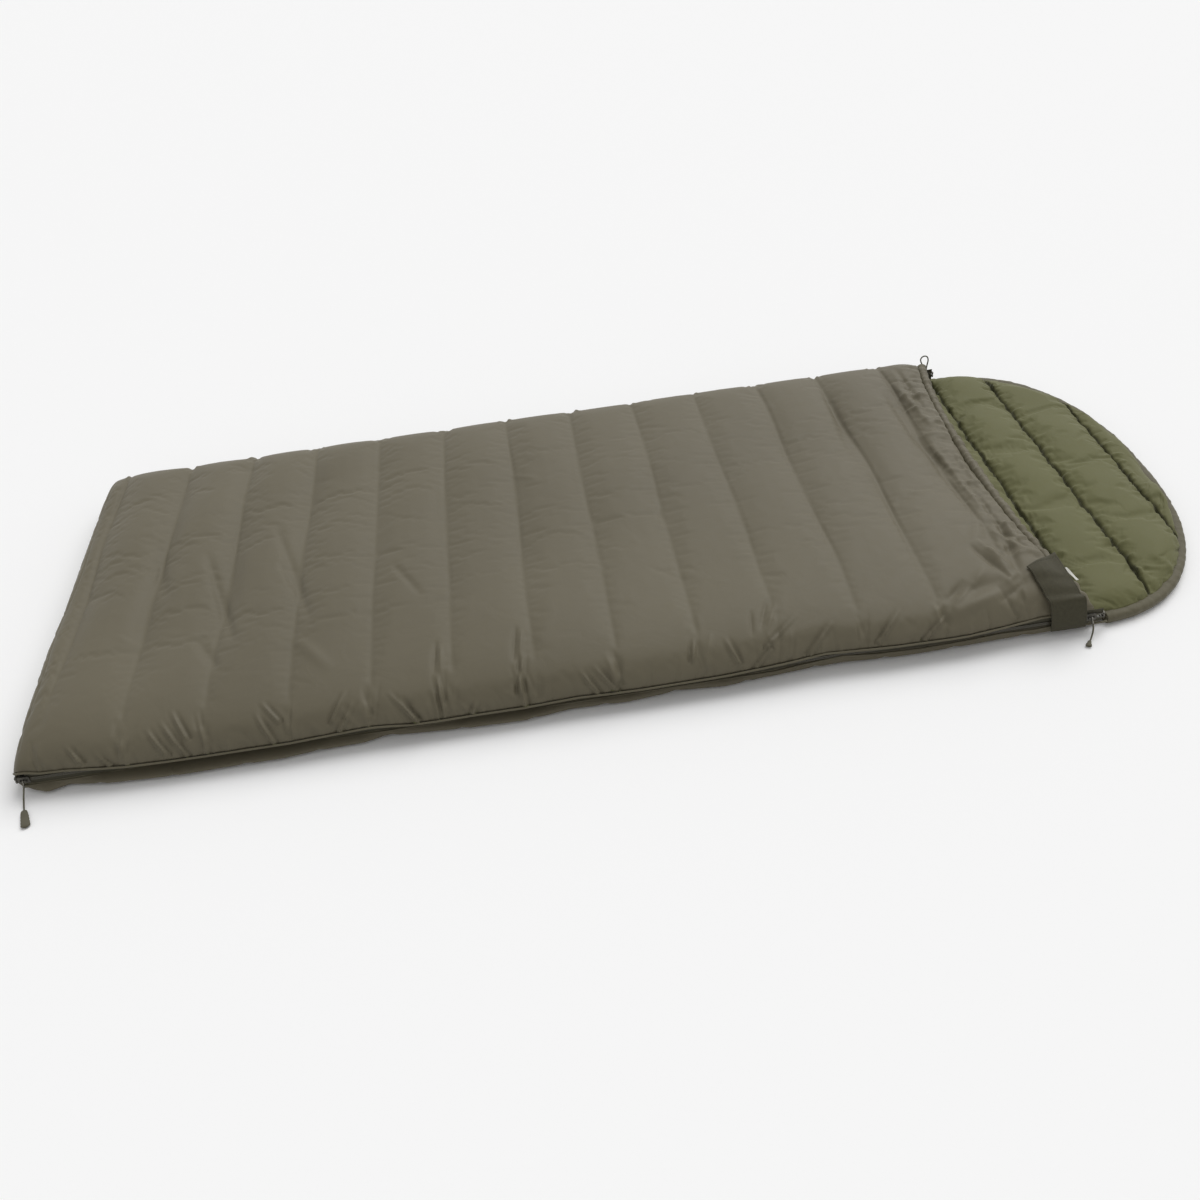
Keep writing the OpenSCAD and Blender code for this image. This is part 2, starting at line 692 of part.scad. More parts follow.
// The columns of the cover's surface that the tab bends over, as a share of the half width.
tab_columns = [0, -0.82, -0.95, -1];
function tab_top_point(k, s, up) =
    let (sewn = mix(tab_sewn[0], tab_sewn[1], s))
    let (x = mix(sewn[0], mix(tab_end_x[0], tab_end_x[1], s), tab_over[k][0]))
    let (u = k == 0 ? sewn[1] / half_w : tab_columns[k])
    let (out = unit([tab_over[k][1], tab_over[k][2]]))
    let (clear = tab_clear + up)
    [x, half_w * u + out[0] * (clear + tab_slack * tab_over[k][3]), cover_top(x, u) + out[1] * clear];
function tab_side_point(k, s, up) =
    let (sewn = mix(tab_sewn[0], tab_sewn[1], s))
    let (x = mix(sewn[0], mix(tab_end_x[0], tab_end_x[1], s), tab_side[k][0]))
    [x, -half_w - tab_side[k][1] - up, zip_z + tab_side[k][2]];
function tab_sheet(up) = concat(
    [for (k = [0:len(tab_over) - 1], s = tab_across) tab_top_point(k, s, up)],
    [for (k = [0:len(tab_side) - 1], s = tab_across) tab_side_point(k, s, up)]
);
module closure_tab() color(dark)
    between(tab_sheet(tab_t), tab_sheet(0), len(tab_over) + len(tab_side), len(tab_across));

// Hook and loop patches that hold the tab shut over the zip.
module tab_hook_patch() color(dark)
    translate([hem_middle + 2, -half_w - 6, zip_z - 10])
        cube([44, 1, 11]);
module base_loop_patch() color(dark)
    along_x(hem_middle, hem_middle + 48)
        translate([-half_w, 0])
            polygon([[15, 3.3], [1, 9.9], [0.5, 8.7], [14.5, 2.1]]);

// A blank folded label sewn into the hem beside the tab.
module side_label() color("white")
    translate([hem_middle + 56, -half_w + 74, cover_low_z + 7])
        rotate([4, 0, 12])
            cube([10, 36, 0.8], center = true);

base_shell();
base_fill();
base_lining();
hood_shell();
hood_fill();
hood_lining();
hood_edge_band();
cover_shell();
cover_fill();
cover_lining();
cover_head_shell();
cover_head_fill();
cover_head_lining();
cover_hem();
base_piping();
cover_piping();
cover_head_piping();
draught_baffles();
head_draught_baffles();
near_base_tape();
far_base_tape();
near_cover_tape();
far_cover_tape();
near_cover_head_tape();
far_cover_head_tape();
near_base_teeth();
far_base_teeth();
near_cover_teeth();
far_cover_teeth();
near_cover_head_teeth();
far_cover_head_teeth();
foot_zip_stops();
head_zip_stops();
cover_zip_stops();
closure_tab();
tab_hook_patch();
base_loop_patch();
side_label();
near_head_slider();
near_head_bail();
near_head_cord();
near_head_grip();
far_head_slider();
far_head_bail();
far_head_cord();
near_foot_slider();
near_foot_bail();
near_foot_cord();
near_foot_grip();
far_foot_slider();
far_foot_bail();
far_foot_cord();
far_foot_grip();
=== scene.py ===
import math

import bpy
import numpy as np
from mathutils import Matrix, Vector


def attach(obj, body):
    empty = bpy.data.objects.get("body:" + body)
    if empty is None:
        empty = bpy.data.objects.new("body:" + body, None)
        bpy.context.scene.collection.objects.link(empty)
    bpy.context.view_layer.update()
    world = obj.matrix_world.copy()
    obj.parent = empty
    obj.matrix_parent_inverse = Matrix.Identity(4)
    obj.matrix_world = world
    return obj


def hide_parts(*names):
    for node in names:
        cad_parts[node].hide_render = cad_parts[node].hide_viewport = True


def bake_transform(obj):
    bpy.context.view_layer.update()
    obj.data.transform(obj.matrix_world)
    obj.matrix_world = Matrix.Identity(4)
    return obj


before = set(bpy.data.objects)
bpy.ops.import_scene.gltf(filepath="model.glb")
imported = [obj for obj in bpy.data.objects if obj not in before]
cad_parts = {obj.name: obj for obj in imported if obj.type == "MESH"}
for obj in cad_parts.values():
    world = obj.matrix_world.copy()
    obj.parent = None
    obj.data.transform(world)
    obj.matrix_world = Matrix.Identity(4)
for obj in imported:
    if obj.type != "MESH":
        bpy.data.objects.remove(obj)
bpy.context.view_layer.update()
scene = bpy.context.scene


# --- View, light and floor --------------------------------------------
# The bag lies on a plain pale floor, seen from its near side and above, with the foot on the left.
# A wide soft lamp stands behind it and to the right, so the near side and the seams are in soft shade.
def look_from(place, azimuth, elevation, roll):
    """The camera's matrix: its back points along azimuth and elevation, turned about itself by roll."""
    a, e, r = (math.radians(v) for v in (azimuth, elevation, roll))
    back = Vector((math.sin(a) * math.cos(e), -math.cos(a) * math.cos(e), math.sin(e)))
    right = back.cross(Vector((0, 0, -1))).normalized()
    up = back.cross(right)
    across = math.cos(r) * right + math.sin(r) * up
    along = math.cos(r) * up - math.sin(r) * right
    return Matrix.Translation(place) @ Matrix((across, along, back)).transposed().to_4x4()


def placed(name, data):
    """A new object in the scene."""
    piece = bpy.data.objects.new(name, data)
    scene.collection.objects.link(piece)
    return piece


def skin(name, points, faces):
    """A new mesh from a grid or list of points and its faces."""
    mesh = bpy.data.meshes.new(name)
    mesh.from_pydata(np.reshape(points, (-1, 3)).tolist(), [], list(faces))
    return mesh


camera = placed("camera", bpy.data.cameras.new("camera"))
camera.matrix_world = look_from((-0.11994, -1.95701, 1.45194), -2.715, 38.94, -6.82)
camera.data.lens = 36
camera.data.sensor_width = 36
camera.data.clip_start = 0.01
scene.camera = camera
scene.view_settings.view_transform = "Standard"

sky = bpy.data.worlds.new("studio")
scene.world = sky
sky.use_nodes = True
sky.node_tree.nodes.clear()
paths, mirrored, seen, level, glow, world_out = (
    sky.node_tree.nodes.new("ShaderNode" + kind)
    for kind in ("LightPath", "Math", "Math", "MapRange", "Background", "OutputWorld")
)
mirrored.operation = seen.operation = "MAXIMUM"
level.inputs["To Min"].default_value = 0.52
level.inputs["To Max"].default_value = 1.0
glow.inputs["Color"].default_value = (1, 1, 1, 1)
for start, end in (
    (paths.outputs["Is Glossy Ray"], mirrored.inputs[0]),
    (paths.outputs["Is Transmission Ray"], mirrored.inputs[1]),
    (paths.outputs["Is Camera Ray"], seen.inputs[0]),
    (mirrored.outputs[0], seen.inputs[1]),
    (seen.outputs[0], level.inputs["Value"]),
    (level.outputs[0], glow.inputs["Strength"]),
    (glow.outputs[0], world_out.inputs["Surface"]),
):
    sky.node_tree.links.new(start, end)

lamp = placed("softbox", bpy.data.lights.new("softbox", "SUN"))
lamp.data.energy = 1.75
lamp.data.angle = math.radians(50)
lamp.matrix_world = look_from((2, 2, 3), 140, 52, 0)

floor = placed("floor", skin(
    "floor", [(-9, -9, -0.0006), (9, -9, -0.0006), (9, 9, -0.0006), (-9, 9, -0.0006)], [(0, 1, 2, 3)],
))
floor_paint = bpy.data.materials.new("floor")
floor_paint.use_nodes = True
for socket, value in (("Base Color", (0.96, 0.96, 0.96, 1)), ("Roughness", 0.9), ("Specular IOR Level", 0.1)):
    floor_paint.node_tree.nodes["Principled BSDF"].inputs[socket].default_value = value
floor.data.materials.append(floor_paint)


# --- Pull cords -------------------------------------------------------
# Four short lengths of 3 mm braided polyester cord, knotted through the bails of the sliders.
# Three hang down to the ground and end in a moulded grip; the far head one is a loop that stands up.
def smooth_line(points, count):
    """A Catmull-Rom curve through the points, with count places evenly spaced in its parameter."""
    p = np.array(points, float)
    p = np.vstack([2 * p[0] - p[1], p, 2 * p[-1] - p[-2]])
    t = np.linspace(0, len(points) - 1, count)
    k = np.minimum(t.astype(int), len(points) - 2)
    f = (t - k)[:, None]
    a, b, c, d = (p[k + i] for i in range(4))
    return 0.5 * (2 * b + (c - a) * f + (2 * a - 5 * b + 4 * c - d) * f**2 + (3 * (b - c) + d - a) * f**3)


def run_along(path):
    """The distance along a path at each of its points."""
    return np.concatenate([[0], np.cumsum(np.linalg.norm(np.diff(path, axis=0), axis=1))])


def full_turn(count):
    """Angles evenly round a circle."""
    return np.linspace(0, 2 * math.pi, count + 1)[:-1]


def shaped(wave, power):
    """sign(wave) x |wave|^power: a squarer wave for a power below 1."""
    return np.sign(wave) * np.abs(wave) ** power


def ring_frames(path, reference):
    """Unit vectors at each point of a path: across = heading x reference, above = across x heading."""
    heading = np.gradient(path, axis=0)
    heading /= np.linalg.norm(heading, axis=1, keepdims=True)
    across = np.cross(heading, reference)
    across /= np.linalg.norm(across, axis=1, keepdims=True)
    return across, np.cross(across, heading)


def lofted(name, rings, finish):
    """A closed skin over rings of points (stations, round, 3), capped at both ends and facing outwards.
    Its UV is the share of the way round and the distance along in metres."""
    n, k = rings.shape[:2]
    i, j = np.meshgrid(np.arange(n - 1), np.arange(k), indexing="ij")
    after = (j + 1) % k
    quads = np.stack([i * k + j, i * k + after, (i + 1) * k + after, (i + 1) * k + j], -1).reshape(-1, 4)
    centre = rings.mean(axis=1)
    u = np.stack([j, j + 1, j + 1, j], -1).reshape(-1, 4) / k
    v = run_along(centre)[np.stack([i, i, i + 1, i + 1], -1)].reshape(-1, 4)
    p = rings.reshape(-1, 3)
    a, b, c = (p[quads[:, corner]] for corner in range(3))
    caps = [list(range(k))[::-1], list(range((n - 1) * k, n * k))]
    if np.einsum("ij,ij->i", np.cross(b - a, c - a), a - centre[i.reshape(-1)]).sum() < 0:
        quads, u, v, caps = quads[:, ::-1], u[:, ::-1], v[:, ::-1], [cap[::-1] for cap in caps]
    mesh = skin(name, p, quads.tolist() + caps)
    uv = np.zeros((len(mesh.loops), 2), np.float32)
    uv[: 4 * len(quads)] = np.stack([u, v], -1).reshape(-1, 2)
    mesh.uv_layers.new(name="along").data.foreach_set("uv", uv.ravel())
    mesh.polygons.foreach_set("use_smooth", [True] * len(quads) + [False, False])
    mesh.materials.append(finish)
    return placed(name, mesh)


class Wire:
    """A socket of a material under construction. + - * / on wires and numbers add Math nodes."""

    def __init__(self, maker, socket):
        self.maker, self.socket = maker, socket

    def math(self, operation, *values):
        return self.maker.add("Math", {"operation": operation}, dict(enumerate(values)))

    def sine(self):
        return self.math("SINE", self)

    def size(self):
        return self.math("ABSOLUTE", self)

    def clipped(self):
        return self.maker.add("Clamp", {}, {"Value": self})


for symbol, operation in (("add", "ADD"), ("sub", "SUBTRACT"), ("mul", "MULTIPLY"), ("truediv", "DIVIDE")):
    setattr(Wire, f"__{symbol}__", lambda a, b, kind=operation: a.math(kind, a, b))
    setattr(Wire, f"__r{symbol}__", lambda a, b, kind=operation: a.math(kind, b, a))


class Finish:
    """A material named for one finish of the bag, and the shader that its wires lead to."""

    def __init__(self, name):
        self.material = bpy.data.materials.new(name)
        self.material.use_nodes = True
        self.tree = self.material.node_tree
        self.shader = self.tree.nodes["Principled BSDF"]

    def add(self, kind, settings, values, out=0):
        """Adds one node: its settings first, then its sockets' values or wires. Gives the output's wire."""
        node = self.tree.nodes.new("ShaderNode" + kind)
        for key, value in settings.items():
            setattr(node, key, value)
        for key, value in values.items():
            if isinstance(value, Wire):
                self.tree.links.new(value.socket, node.inputs[key])
            else:
                node.inputs[key].default_value = value
        return Wire(self, node.outputs[out])

    def place(self, out="Object"):
        """The coordinates of the piece's own space, in metres, as one wire and as three."""
        where = self.add("TexCoord", {}, {}, out)
        split = self.add("SeparateXYZ", {}, {"Vector": where})
        return where, [Wire(self, split.socket.node.outputs[i]) for i in range(3)]

    def noise(self, where, scale, detail=2.0, roughness=0.5, distortion=0.0):
        return self.add("TexNoise", {}, {
            "Vector": where, "Scale": scale, "Detail": detail, "Roughness": roughness, "Distortion": distortion,
        })

    def blend_colours(self, share, dark, light):
        dark, light = (v if isinstance(v, Wire) else (*v, 1) for v in (dark, light))
        return self.add("Mix", {"data_type": "RGBA"}, {0: share, 6: dark, 7: light}, 2)

    def relief(self, height, distance, strength=1.0, under=None):
        """A Bump node for a height in metres at distance 1, laid over another relief where under is given."""
        over = {} if under is None else {"Normal": under}
        return self.add("Bump", {}, {"Height": height, "Distance": distance, "Strength": strength, **over})

    def wear(self, **sockets):
        """Joins wires or numbers to the shader's sockets, named with _ for a space. Gives the material."""
        for key, value in sockets.items():
            socket = self.shader.inputs[key.replace("_", " ")]
            if isinstance(value, Wire):
                self.tree.links.new(value.socket, socket)
            else:
                socket.default_value = value
        return self.material


def braided(name, dark, light):
    """Strands that wind both ways round the cord: height = sin(8 turns + v / 1 mm) x sin(8 turns - v / 1 mm)."""
    f = Finish(name)
    _, (u, v, _) = f.place("UV")
    turns, run = u * (2 * math.pi * 4), v * (2 * math.pi / 0.0035)
    strands = (turns + run).sine() * (turns - run).sine() * 0.5 + 0.5
    return f.wear(
        Base_Color=f.blend_colours(strands, dark, light),
        Roughness=0.75,
        Normal=f.relief(strands, 0.0005),
        Sheen_Weight=0.25,
    )


cord_cloth = braided("pull_cord", (0.045, 0.042, 0.024), (0.125, 0.115, 0.070))
cord_width = 0.003
cord_section = np.array([(math.cos(a), math.sin(a)) for a in full_turn(12)])


def pull_cord(side, end, route, reference):
    """A round tube along the route, written for the near side and mirrored for the far one."""
    name = f"{side}_{end}_cord"
    points = np.array(route) / 1000 * (1, -1 if side == "far" else 1, 1)
    path = smooth_line(points, 6 * len(route))
    across, above = ring_frames(path, reference)
    rings = path[:, None] + cord_width / 2 * (
        cord_section[None, :, :1] * across[:, None] + cord_section[None, :, 1:] * above[:, None]
    )
    tube = lofted(name + "_braid", rings, cord_cloth)
    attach(tube, f"{side}_{end}_pull")
    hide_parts(name)


def grained(name, dark, light, grain, drift, share, rough, bump, **more):
    """Moulded or felted stuff. grain and drift are the scale, detail and roughness of two noises. The shade is
    a x grain + b x drift + c, the roughness a + b x grain, and the bump (height, strength) that of the grain."""
    f = Finish(name)
    where, _ = f.place()
    grain, drift = f.noise(where, *grain), f.noise(where, *drift)
    return f.wear(
        Base_Color=f.blend_colours((grain * share[0] + drift * share[1] + share[2]).clipped(), dark, light),
        Roughness=(rough[0] + grain * rough[1]).clipped(),
        Normal=f.relief(grain, *bump),
        **more,
    )


grip_rubber = grained(
    "grip_rubber", (0.060, 0.055, 0.033), (0.105, 0.096, 0.062), (2600, 2.0, 0.6), (70, 2.0, 0.5),
    (0, 1, 0), (0.5, 0.2), (0.0001, 0.6), Specular_IOR_Level=0.4,
)


def moulded_grip(side, end, start, turn, outline, ribs):
    """A flat grip that lies on the ground: half widths along its length, rounded sections
    |y / w|^3 + |z / h|^3 = 1, and ribs as small steps in both."""
    name = f"{side}_{end}_grip"
    along, half = np.array(outline, float).T / 1000
    run = np.linspace(0, along[-1], 72)
    wide = np.interp(run, along, half)
    tall = np.interp(run, [0, 0.004, along[-1] - 0.002, along[-1]], [0.0019, 0.0025, 0.0025, 0.0019])
    share = run / along[-1]
    rib = 1 + 0.09 * np.clip(np.sin(share * 2 * math.pi * ribs), 0, 1) * ((share > 0.25) & (share < 0.9))
    blunt = np.sqrt(np.clip(1 - ((share - 0.5) * 2) ** 14, 0.16, 1))
    a = full_turn(24)
    across = (wide * rib * blunt)[:, None] * shaped(np.cos(a), 2 / 3)[None]
    up = 0.0031 + (tall * np.minimum(rib, 1.0) * blunt)[:, None] * shaped(np.sin(a), 2 / 3)[None]
    c, d = math.cos(math.radians(turn)), math.sin(math.radians(turn))
    rings = np.stack([
        start[0] / 1000 + run[:, None] * c - across * d,
        (-1 if side == "far" else 1) * (start[1] / 1000 + run[:, None] * d + across * c),
        up,
    ], -1)
    grip = lofted(name + "_moulding", rings, grip_rubber)
    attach(grip, f"{side}_{end}_pull")
    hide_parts(name)
    return grip


near_head_grip = moulded_grip("near", "head", (790, -480), -121, [(0, 3), (6, 3.5), (13, 5.5), (14, 4.5)], 2)
foot_grips = {
    side: moulded_grip(side, "foot", (-1053.5, -493), -72, [(0, 3), (3, 5), (9, 6), (38, 7.5), (42, 5.5)], 6)
    for side in ("near", "far")
}
pull_cord("near", "head", [
    (802, -460, 23), (801, -465, 17), (799, -469, 11), (796, -473, 6), (793, -477, 3), (789, -481, 3),
], (1, 0, 0))
for side, grip in foot_grips.items():
    pull_cord(side, "foot", [
        (-1054, -460, 23), (-1055, -466, 17), (-1056, -472, 11),
        (-1056, -479, 6), (-1055, -487, 3), (-1053, -494, 3),
    ], (1, 0, 0))
pull_cord("far", "head", [
    (809, -453, 37), (808, -452, 43), (805, -451, 50), (801, -451, 57), (798, -451, 64), (797, -451, 70),
    (800, -451, 75), (805, -451, 77), (811, -451, 75), (814, -451, 70), (815, -451, 64), (814, -451, 57),
    (813, -451, 50), (813, -452, 43), (813, -453, 37),
], (0, 1, 0))


# --- Base pad and hood ------------------------------------------------
# One quilted pad from the foot to the tip of the hood: olive brushed lining above, khaki shell below,
# hollow-fibre wadding between, stitched through in cross channels that pucker along every seam.
foot_x, side_y, corner_radius = -1.075, 0.446, 0.024
base_edge_z, cover_edge_z = 0.0165, 0.0435


def ramp(x, start, reach):
    """0 up to start, 1 from reach beyond it, and straight between. A negative reach falls instead."""
    return np.clip((x - start) / reach, 0, 1)


def bump(distance, width):
    """exp(-(distance / width)^2)."""
    return np.exp(-((distance / width) ** 2))


def folds_along(x, y, ridges, power=2.0, open_end=False):
    """Sum of ridges: each is height x exp(-(distance from its line / width)^power), faded to nothing at its two
    ends, or at its first end only. A power of 2 is a round ridge, and one near 1 a sharp crease."""
    total = np.zeros_like(x)
    for ax, ay, bx, by, height, width in ridges:
        length = math.hypot(bx - ax, by - ay)
        dx, dy = (bx - ax) / length, (by - ay) / length
        along = ((x - ax) * dx + (y - ay) * dy) / length
        off = (x - ax) * dy - (y - ay) * dx
        near = (np.abs(off) < 4 * width) & (along > 0) & (along < 1)
        t = along[near]
        fade = np.clip(2.2 * t, 0, 1) if open_end else np.clip(4 * t * (1 - t), 0, 1) ** 0.8
        total[near] += height * np.exp(-(np.abs(off[near] / width) ** power)) * fade
    return total


def seam_puckers(seed, seam_x, spacing, reach, height):
    """Short narrow ridges and creases that start on a seam and run away from it, at seeded uneven distances."""
    rng = np.random.default_rng(seed)
    ridges, y = [], -0.43
    while y < 0.43:
        for way in (-1, 1):
            if rng.random() < 0.8:
                run, slant = reach * rng.uniform(0.3, 1.3), rng.uniform(-0.6, 0.6)
                start = y + rng.uniform(-0.4, 0.4) * spacing
                lift = height * rng.uniform(0.3, 1.0) * rng.choice((1, -1))
                ridges.append((
                    seam_x - way * 0.30 * run, start, seam_x + way * run, start + slant * run,
                    lift, 0.0026 + 0.07 * run * rng.uniform(0.5, 1.2),
                ))
        y += spacing * rng.uniform(0.6, 1.5)
    return ridges


def surface_normals(points):
    """Unit normals of a grid of points (rows, columns, 3): step along the rows x step along the columns."""
    n = np.cross(np.gradient(points, axis=0), np.gradient(points, axis=1))
    return n / np.maximum(np.linalg.norm(n, axis=2, keepdims=True), 1e-12)


def even_steps(profile, step):
    """Places from 0 to 1 that cut a profile of points into pieces of equal length, about step each."""
    run = run_along(profile)
    count = max(2, int(round(run[-1] / step)) + 1)
    return np.interp(np.linspace(0, run[-1], count), run, np.linspace(0, 1, len(profile)))


def quads_of(index):
    """The quads of a grid of point numbers."""
    return np.stack([index[:-1, :-1], index[1:, :-1], index[1:, 1:], index[:-1, 1:]], -1).reshape(-1, 4)


def billowed(points, seams, growth, cap):
    """The grid of points as cloth that is cut larger by growth, held round its border and along its seams, and
    pressed outwards by the wadding: 20 frames of cloth, after which no point has moved further than cap."""
    n, m = points.shape[:2]
    sewn = np.zeros((n, m), bool)
    sewn[[0, -1]] = sewn[:, [0, -1]] = sewn[seams] = True
    cloth = placed("cloth", skin("cloth", points, quads_of(np.arange(n * m).reshape(n, m)).tolist()))
    held = cloth.vertex_groups.new(name="sewn")
    held.add(np.flatnonzero(sewn.ravel()).tolist(), 1.0, "REPLACE")
    modifier = cloth.modifiers.new("cloth", "CLOTH")
    for key, value in dict(
        quality=6, mass=0.15, tension_stiffness=12, compression_stiffness=12, shear_stiffness=4,
        bending_stiffness=0.05, air_damping=1, vertex_group_mass="sewn", use_pressure=True,
        uniform_pressure_force=2.0, shrink_min=-growth,
    ).items():
        setattr(modifier.settings, key, value)
    modifier.settings.effector_weights.gravity = 0
    modifier.collision_settings.use_collision = modifier.collision_settings.use_self_collision = False
    modifier.point_cache.frame_start, modifier.point_cache.frame_end = 1, 20
    for step in range(1, 21):
        scene.frame_set(step)
    moved = np.empty(n * m * 3, np.float32)
    cloth.evaluated_get(bpy.context.evaluated_depsgraph_get()).data.vertices.foreach_get("co", moved)
    scene.frame_set(1)
    bpy.data.objects.remove(cloth)
    move = moved.reshape(n, m, 3).astype(float) - points
    return points + move * np.minimum(1, cap / np.maximum(np.linalg.norm(move, axis=2, keepdims=True), 1e-9))


def finer(grid, by_rows, by_columns):
    """The grid of points or values with more rows and columns between its own, on Catmull-Rom curves."""
    for by in (by_rows, by_columns):
        n, m = grid.shape[:2]
        smooth = smooth_line(grid.reshape(n, -1), by * (n - 1) + 1).reshape(by * (n - 1) + 1, m, -1)
        grid = smooth.swapaxes(0, 1)
    return grid


def pad_between(name, upper, lower, upper_finish, lower_finish):
    """A closed pad: two grids of points (rows, columns, 3), the lower one's border drawn onto the upper one's."""
    n, m = upper.shape[:2]
    top = np.arange(n * m).reshape(n, m)
    under = top.copy()
    under[1:-1, 1:-1] = n * m + np.arange((n - 2) * (m - 2)).reshape(n - 2, m - 2)
    faces = [quads_of(top), quads_of(under)[:, ::-1]]
    points = np.vstack([upper.reshape(-1, 3), lower[1:-1, 1:-1].reshape(-1, 3)])
    mesh = skin(name, points, np.vstack(faces).tolist())
    mesh.polygons.foreach_set("use_smooth", [True] * len(mesh.polygons))
    mesh.polygons.foreach_set("material_index", np.repeat([0, 1], len(faces[0])).astype(np.int32))
    mesh.materials.append(upper_finish)
    mesh.materials.append(lower_finish)
    return placed(name, mesh)


def woven(name, dark, light, roughness, sheen, crumple=0.0016, crumple_scale=16, seam=None):
    """Plain woven cloth of 1.1 mm threads: sin(x) x sin(y + z). A slow noise crumples the surface, and a slower
    one drifts the colour. seam = (first, pitch, width) paints shade into a stitched line across the bag at every
    pitch, beaded by the stitches."""
    f = Finish(name)
    where, (x, y, z) = f.place()
    beat = math.pi / 0.0011
    threads = (x * beat).sine() * ((y + z) * beat).sine() * 0.5 + 0.5
    drift = f.noise(where, 2.2, 3.0, 0.55)
    mottle = f.noise(where, 60, 2.0, 0.6)
    soft = f.noise(where, crumple_scale, 3.0, 0.45, 0.8)
    share = (drift * 0.9 + mottle * 0.25 + threads * 0.25 - 0.2).clipped()
    # Painted shade: near each seam the colour falls towards 30% of the dark shade, the groove's shadow, beaded by
    # the stitch dashes.
    if seam:
        first, pitch, width = seam
        wander = (y * 47).sine() * 0.0012 + (y * 131).sine() * 0.0008
        off = f.add("Math", {"operation": "PINGPONG"}, {0: x + wander - first, 1: pitch / 2})
        stitches = (y * (2 * math.pi / 0.0045)).sine() * 0.2 + 0.8
        clear = 1 - ((1 - off / width) * 1.6).clipped() * stitches
        dark = [v * 0.30 for v in dark]
        share = (share * 0.30 + 0.70) * clear
    return f.wear(
        Base_Color=f.blend_colours(share, dark, light),
        Roughness=(roughness + (mottle - 0.5) * 0.12).clipped(),
        Normal=f.relief(threads, 0.00012, 0.5, f.relief(soft, crumple)),
        Sheen_Weight=sheen,
        Sheen_Roughness=0.4,
        Specular_IOR_Level=0.3,
    )


shell_cloth = woven("shell_fabric", (0.096, 0.0830, 0.0530), (0.131, 0.1150, 0.0750), 0.58, 0.05)
base_pitch, base_last = 0.124, 0.806


def lining(name, last_seam, pitch):
    """The olive brushed lining, with painted shade along its seams."""
    return woven(
        name, (0.101, 0.0995, 0.0395), (0.131, 0.130, 0.0525), 0.72, 0.08, crumple=0.0010,
        seam=(last_seam, pitch, 0.0048),
    )


lining_cloth = lining("lining_fabric", base_last, base_pitch)
hood_from, hood_reach, hood_power = 0.817, 0.298, 2.3
pad_inset, pad_tip = 0.014, 1.1004


def drawn_in(x):
    """How far the rounded corners at the foot have drawn the outline in."""
    d = corner_radius - np.clip(x - foot_x, 0, corner_radius)
    return corner_radius - np.sqrt(corner_radius**2 - d**2)


def pad_half(x):
    """Half the pad's width: straight up to the hood, then a superellipse, (1 - share^2.3)^(1 / 2.3)."""
    into_hood = ramp(x, 0.790, 0.05)
    straight = side_y - pad_inset * into_hood**2 * (3 - 2 * into_hood)
    past = np.clip((x - hood_from) / (hood_reach - pad_inset), 0, 1)
    return (straight - drawn_in(x)) * (1 - past**hood_power) ** (1 / hood_power)


def fall(distance, over):
    """A rounded edge: 0 at the edge and 1 from a distance of over inwards, sqrt(1 - (1 - d)^2.5)."""
    d = np.clip(distance / over, 0, 1)
    return np.sqrt(np.maximum(0, 1 - (1 - d) ** 2.5))


def from_seam_of(x, first, pitch):
    """Distance to the nearest of the seams that lie at every pitch."""
    return np.abs((x - first + pitch / 2) % pitch - pitch / 2)


def corner_rise(x):
    """The edges of cover and base come together at the foot: 0 along the side to 13 mm at the corner."""
    return 0.013 * np.where(x < foot_x + corner_radius, (1 - (x - foot_x) / corner_radius) ** 2, 0)


def foot_fall(x, u):
    """The rounded drop at the foot seam, which reaches further in at the corners."""
    return fall(x - foot_x, 0.056 * (1 + 0.9 * np.abs(u) ** 4))


lifts = np.array([
    (0.24, 1), (0.29, 7), (0.36, 13), (0.42, 5), (0.50, 2), (0.58, 4), (0.64, 8), (0.70, 5), (0.76, 9), (0.80, 0),
])
bellies = np.array([
    (-1.055, 2), (-1.02, 16), (-0.985, 5), (-0.92, 17), (-0.80, 24), (-0.70, 22), (-0.62, 22), (-0.57, 17),
    (-0.53, 15), (-0.48, 14), (-0.445, 5), (-0.39, 10), (-0.30, 17), (-0.20, 20), (-0.12, 9), (-0.02, 13),
    (0.07, 4), (0.15, 11), (0.22, 4), (0.28, 1), (0.36, 0), (0.46, 4), (0.56, 3), (0.66, 1), (0.78, 0),
])


def along_near(table, x, u, far):
    """A table of (x, mm) read along the near side, and a plain value on the far side, in metres."""
    return np.where(np.asarray(u) < 0, np.interp(x, table[:, 0], table[:, 1] / 1000), far)


def base_lift(x, u):
    """How far the edge of the base curls up off its straight line."""
    return along_near(lifts, x, u, 0.0012 * (1 + np.sin(17 * x + 1)) * ramp(x, 0.78, -0.1))


def foot_inset(x, u):
    """The foot edge lies a little further in than the near corner."""
    return 0.009 * ramp(u, -1, 0.45) * np.clip(1 - (x - foot_x) / 0.13, 0, 1) * (1 - 0.5 * np.abs(u) ** 6)


